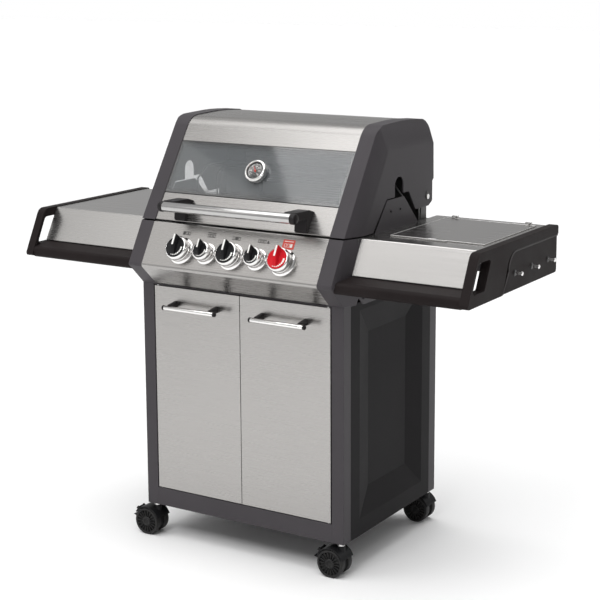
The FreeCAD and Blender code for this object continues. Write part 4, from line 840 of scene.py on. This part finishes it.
# ------------------------------------------------------------------ small parts
def hooks():
    """Three turned pegs with round heads, each in a dark collar on the cap."""
    low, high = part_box("utensil_hooks")
    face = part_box("end_caps")[1].x / MM - 4.0
    tip = high.x / MM
    first, last = low.y / MM + 5.5, high.y / MM - 5.5
    pegs, collars = [], []
    for y in (first, (first + last) / 2, last):
        place = along_axis(Vector((0, y * MM, (low.z + high.z) / 2)), X_AXIS)
        peg = turned("peg", [(3.0, face - 6.0), (3.4, face + 0.2), (3.4, tip - 5.2), (4.6, tip - 4.4),
                             (5.5, tip - 3.0), (5.5, tip - 1.4), (4.2, tip - 0.3), (1.5, tip)], 32, 0)
        pegs.append(moved(peg, place))
        collar = turned("collar", [
            (8.0, face - 0.4), (8.0, face + 0.8), (6.6, face + 2.0), (4.4, face + 2.4)], 32, 0)
        collars.append(moved(collar, place))
    whole = joined("hook_pegs", pegs)
    smooth(whole)
    fitted(whole, ROOT, HOOK, "chrome", "utensil_hooks")
    fitted(joined("hook_collars", collars), ROOT, DIAL_BLACK, "dark_plastic")


def field_ridges():
    """Raised rounded ridge that bounds the recessed field of each end cap."""
    low, high = [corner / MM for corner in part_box("end_caps")]
    front, top, foot, rear = high.y - 343.0, high.z - 24.0, low.z + 2.0, high.y - 2.0
    radius = 46.0
    arc = [math.radians(180 - 90 * i / 12) for i in range(13)]
    centre = (front + 34.0 + radius, top - radius)
    middle = [(centre[0] + math.cos(a) * radius, centre[1] + math.sin(a) * radius) for a in arc]
    line = [(front, foot)] + middle + [(rear, top)]
    inner = [(y + 5.0, z - 5.0) for y, z in line]
    inner[0] = (front + 6.0, foot)
    inner[-1] = (rear, top - 5.0)
    ridges = []
    for side in (-1, 1):
        ridge = slab("ridge", line + inner[::-1], high.x - 4.0, high.x - 0.1, 1.2)
        ridge = moved(ridge, STAND)
        if side < 0:
            work_on(ridge)
            bpy.ops.transform.mirror(constraint_axis=(True, False, False))
            bpy.ops.object.transform_apply(location=True, rotation=True, scale=True)
            bpy.ops.object.mode_set(mode="EDIT")
            bpy.ops.mesh.select_all(action="SELECT")
            bpy.ops.mesh.normals_make_consistent(inside=False)
            bpy.ops.object.mode_set(mode="OBJECT")
        ridges.append(ridge)
    fitted(joined("cap_field_ridges", ridges), ROOT, FIELD, "dark_plastic")


def lid_hinge_eyes():
    """Dark oval plate on each lid side round the hinge axis, painted shade for a recess, with a bright bolt
    at each end of the lid's hinge axis.
    """
    pin = Vector(joints["lid_hinge"]["pos_m"])
    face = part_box("lid_sides")[1].x
    ovals, bolts = [], []
    for side in (-1, 1):
        place = along_axis(Vector((side * face, pin.y, pin.z)), X_AXIS * side, Z_AXIS)
        steps = [math.radians(15 * i) for i in range(24)]
        rim = [(math.cos(a) * 12.0 + 2.0, math.sin(a) * 8.0) for a in steps]
        # The oval is a thin dark plate standing on the surface: painted shade where the slotted hole is.
        ovals.append(moved(slab("oval", rim, -1.0, 1.6, 0.3), place))
        bolt = turned("bolt", [(4.4, 0.2), (4.6, 2.0), (3.4, 3.0), (1.0, 3.3)], 24, 0)
        bolts.append(moved(bolt, place @ shift(-3.0, 0, 0)))
    fitted(joined("lid_hinge_shade_ovals", ovals), "lid", DIAL_BLACK, "dark_plastic")
    fitted(joined("lid_hinge_bolts", bolts), "lid", HOOK, "zinc_steel")


def cover_trim():
    """Rounded edge bead of the side burner's cover in bright plating as a painted highlight, and its finger
    notch in dark plastic as painted shade, with a painted glint on the notch's left lip.
    """
    low, high = [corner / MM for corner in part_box("side_burner_cover")]
    pin = Vector(joints["side_burner_cover_hinge"]["pos_m"]) / MM
    top = pin.z - 4.0 + 2.5
    front, rear = low.y + 9.0, pin.y - 6.0
    middle, depth = (low.x + high.x) / 2, rear - front
    # The bars are rounded edges in bright plating: painted highlight along the cover's outline.
    bars = [block("bar", (1.6, depth, 0.8), (x, (front + rear) / 2, top + 0.1), 0.3)
            for x in (low.x + 0.8, high.x - 0.8)]
    bars += [block("bar", (high.x - low.x, 1.6, 0.8), (middle, y, top + 0.1), 0.3)
             for y in (front + 0.8, rear - 0.8)]
    notch = [(-27.0, 0.4), (-20.0, 5.6), (-8.0, 8.0), (8.0, 8.0), (20.0, 5.6), (27.0, 0.4)]
    # The dark notch plate is painted shade in the finger recess.
    notch_shade = slab("notch", [(middle + x, front + y) for x, y in notch], top - 0.2, top + 0.4, 0.1)
    # The bright lip on the notch's left half is a painted glint.
    lip = [(-25.0, 1.2), (-19.0, 5.0), (-8.0, 7.0), (-4.0, 7.0), (-4.0, 1.2)]
    bars.append(slab("lip", [(middle + x, front + y) for x, y in lip], top - 0.2, top + 0.9, 0.1))
    fitted(joined("cover_edge_highlights", bars), "side_burner_cover", EDGE_HIGHLIGHT, "stainless")
    fitted(notch_shade, "side_burner_cover", TRIM, "stainless").name = "cover_notch_shade"


def rear_burner_tile():
    """Ceramic face of the infrared burner, set in its steel housing."""
    low, high = [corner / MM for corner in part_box("rear_burner")]
    size = (high.x - low.x - 19.0, 3.0, high.z - low.z - 19.0)
    tile = block("rear_burner_tile", size, ((low.x + high.x) / 2, low.y + 6.4, (low.z + high.z) / 2), 0.6)
    fitted(tile, ROOT, TILE, "stainless")


def round_heavy_parts():
    """The thick painted and moulded parts, with the rounded edges of castings and mouldings."""
    softened("lid_sides", ANTHRACITE, "lid", "anthracite_paint", 1.4)
    softened("body_cheeks", ANTHRACITE, ROOT, "anthracite_paint", 1.0)
    softened("end_caps", TRIM, ROOT, "dark_plastic", 1.2)
    softened("lid_handle_brackets", BRACKET, "lid", "dark_plastic", 2.4, 3)


# ------------------------------------------------------------------ studio
def floor():
    deselect()
    bpy.ops.mesh.primitive_plane_add(size=60)
    ground = started("studio_floor")
    made = Finish("studio_floor", Roughness=0.9)
    tone = made.noise(made.place(), 2.0, 2.0)
    made.mottle(tone, (0.93, 0.93, 0.93), (0.94, 0.94, 0.94))
    ground.data.materials.append(made.material)


def softbox(name, place, target, size, power, colour=(1, 1, 1)):
    data = bpy.data.lights.new(name, "AREA")
    data.shape = "RECTANGLE"
    data.size, data.size_y = size
    data.energy = power
    data.color = colour
    lamp = bpy.data.objects.new(name, data)
    lamp.location = place
    lamp.rotation_euler = (Vector(target) - Vector(place)).to_track_quat("-Z", "Y").to_euler()
    lamp.visible_camera = False
    bpy.context.scene.collection.objects.link(lamp)


def light_studio():
    world = bpy.data.worlds.new("studio")
    bpy.context.scene.world = world
    world.use_nodes = True
    sky = Graph(world.node_tree)
    east, north, high = sky.axes(sky.node("ShaderNodeTexCoord", output="Generated"))
    glow = 0.37 + east * -0.22 + north * -0.11 + high * 0.14
    seen = sky.node("ShaderNodeLightPath", output="Is Camera Ray")
    strength = glow.math("MAXIMUM", glow, 0.07)
    background = world.node_tree.nodes["Background"]
    background.inputs["Color"].default_value = (1.0, 1.0, 1.0, 1.0)
    sky.feed(background.inputs["Strength"], strength.math("MAXIMUM", strength, seen))
    middle = (0, 0, 0.7)
    softbox("key_light", (-2.4, -2.9, 3.4), middle, (2.0, 1.6), 6, (1.0, 0.985, 0.96))
    softbox("front_light", (0.3, -3.2, 3.6), middle, (1.6, 1.2), 55)
    softbox("window_light", (-1.25, -1.66, 3.55), (-1.25, -1.66, 0.0), (1.2, 1.2), 9)
    softbox("rear_light", (2.8, 3.0, 2.4), middle, (2.0, 1.6), 14)
    overhead = bpy.data.lights.new("overhead", "SUN")
    overhead.energy = 2.05
    overhead.angle = math.radians(70)
    bpy.context.scene.collection.objects.link(bpy.data.objects.new("overhead", overhead))
    bpy.context.scene.view_settings.view_transform = "Standard"


def set_camera():
    azimuth, elevation, roll = [math.radians(a) for a in (32.1, 10.3, -0.3)]
    back = Vector((math.sin(azimuth) * math.cos(elevation), -math.cos(azimuth) * math.cos(elevation),
                   math.sin(elevation)))
    right = Vector((math.cos(azimuth), math.sin(azimuth), 0))
    up = back.cross(right)
    across = right * math.cos(roll) + up * math.sin(roll)
    upward = up * math.cos(roll) - right * math.sin(roll)
    data = bpy.data.cameras.new("camera")
    data.sensor_width = 36.0
    data.lens = 91.75
    data.shift_y = -0.1
    data.clip_end = 200.0
    camera = bpy.data.objects.new("camera", data)
    camera.matrix_world = board(Vector((2.2005, -3.4231, 1.5665)), across, upward)
    bpy.context.scene.collection.objects.link(camera)
    bpy.context.scene.camera = camera


paint_frame()
for number in range(1, KNOB_COUNT + 1):
    knob(number)
bezels()
burner_marks()
thermometer()
lid_handle()
door_handles()
castor_wheels()
hooks()
field_ridges()
lid_hinge_eyes()
cover_trim()
rear_burner_tile()
round_heavy_parts()
floor()
light_studio()
set_camera()
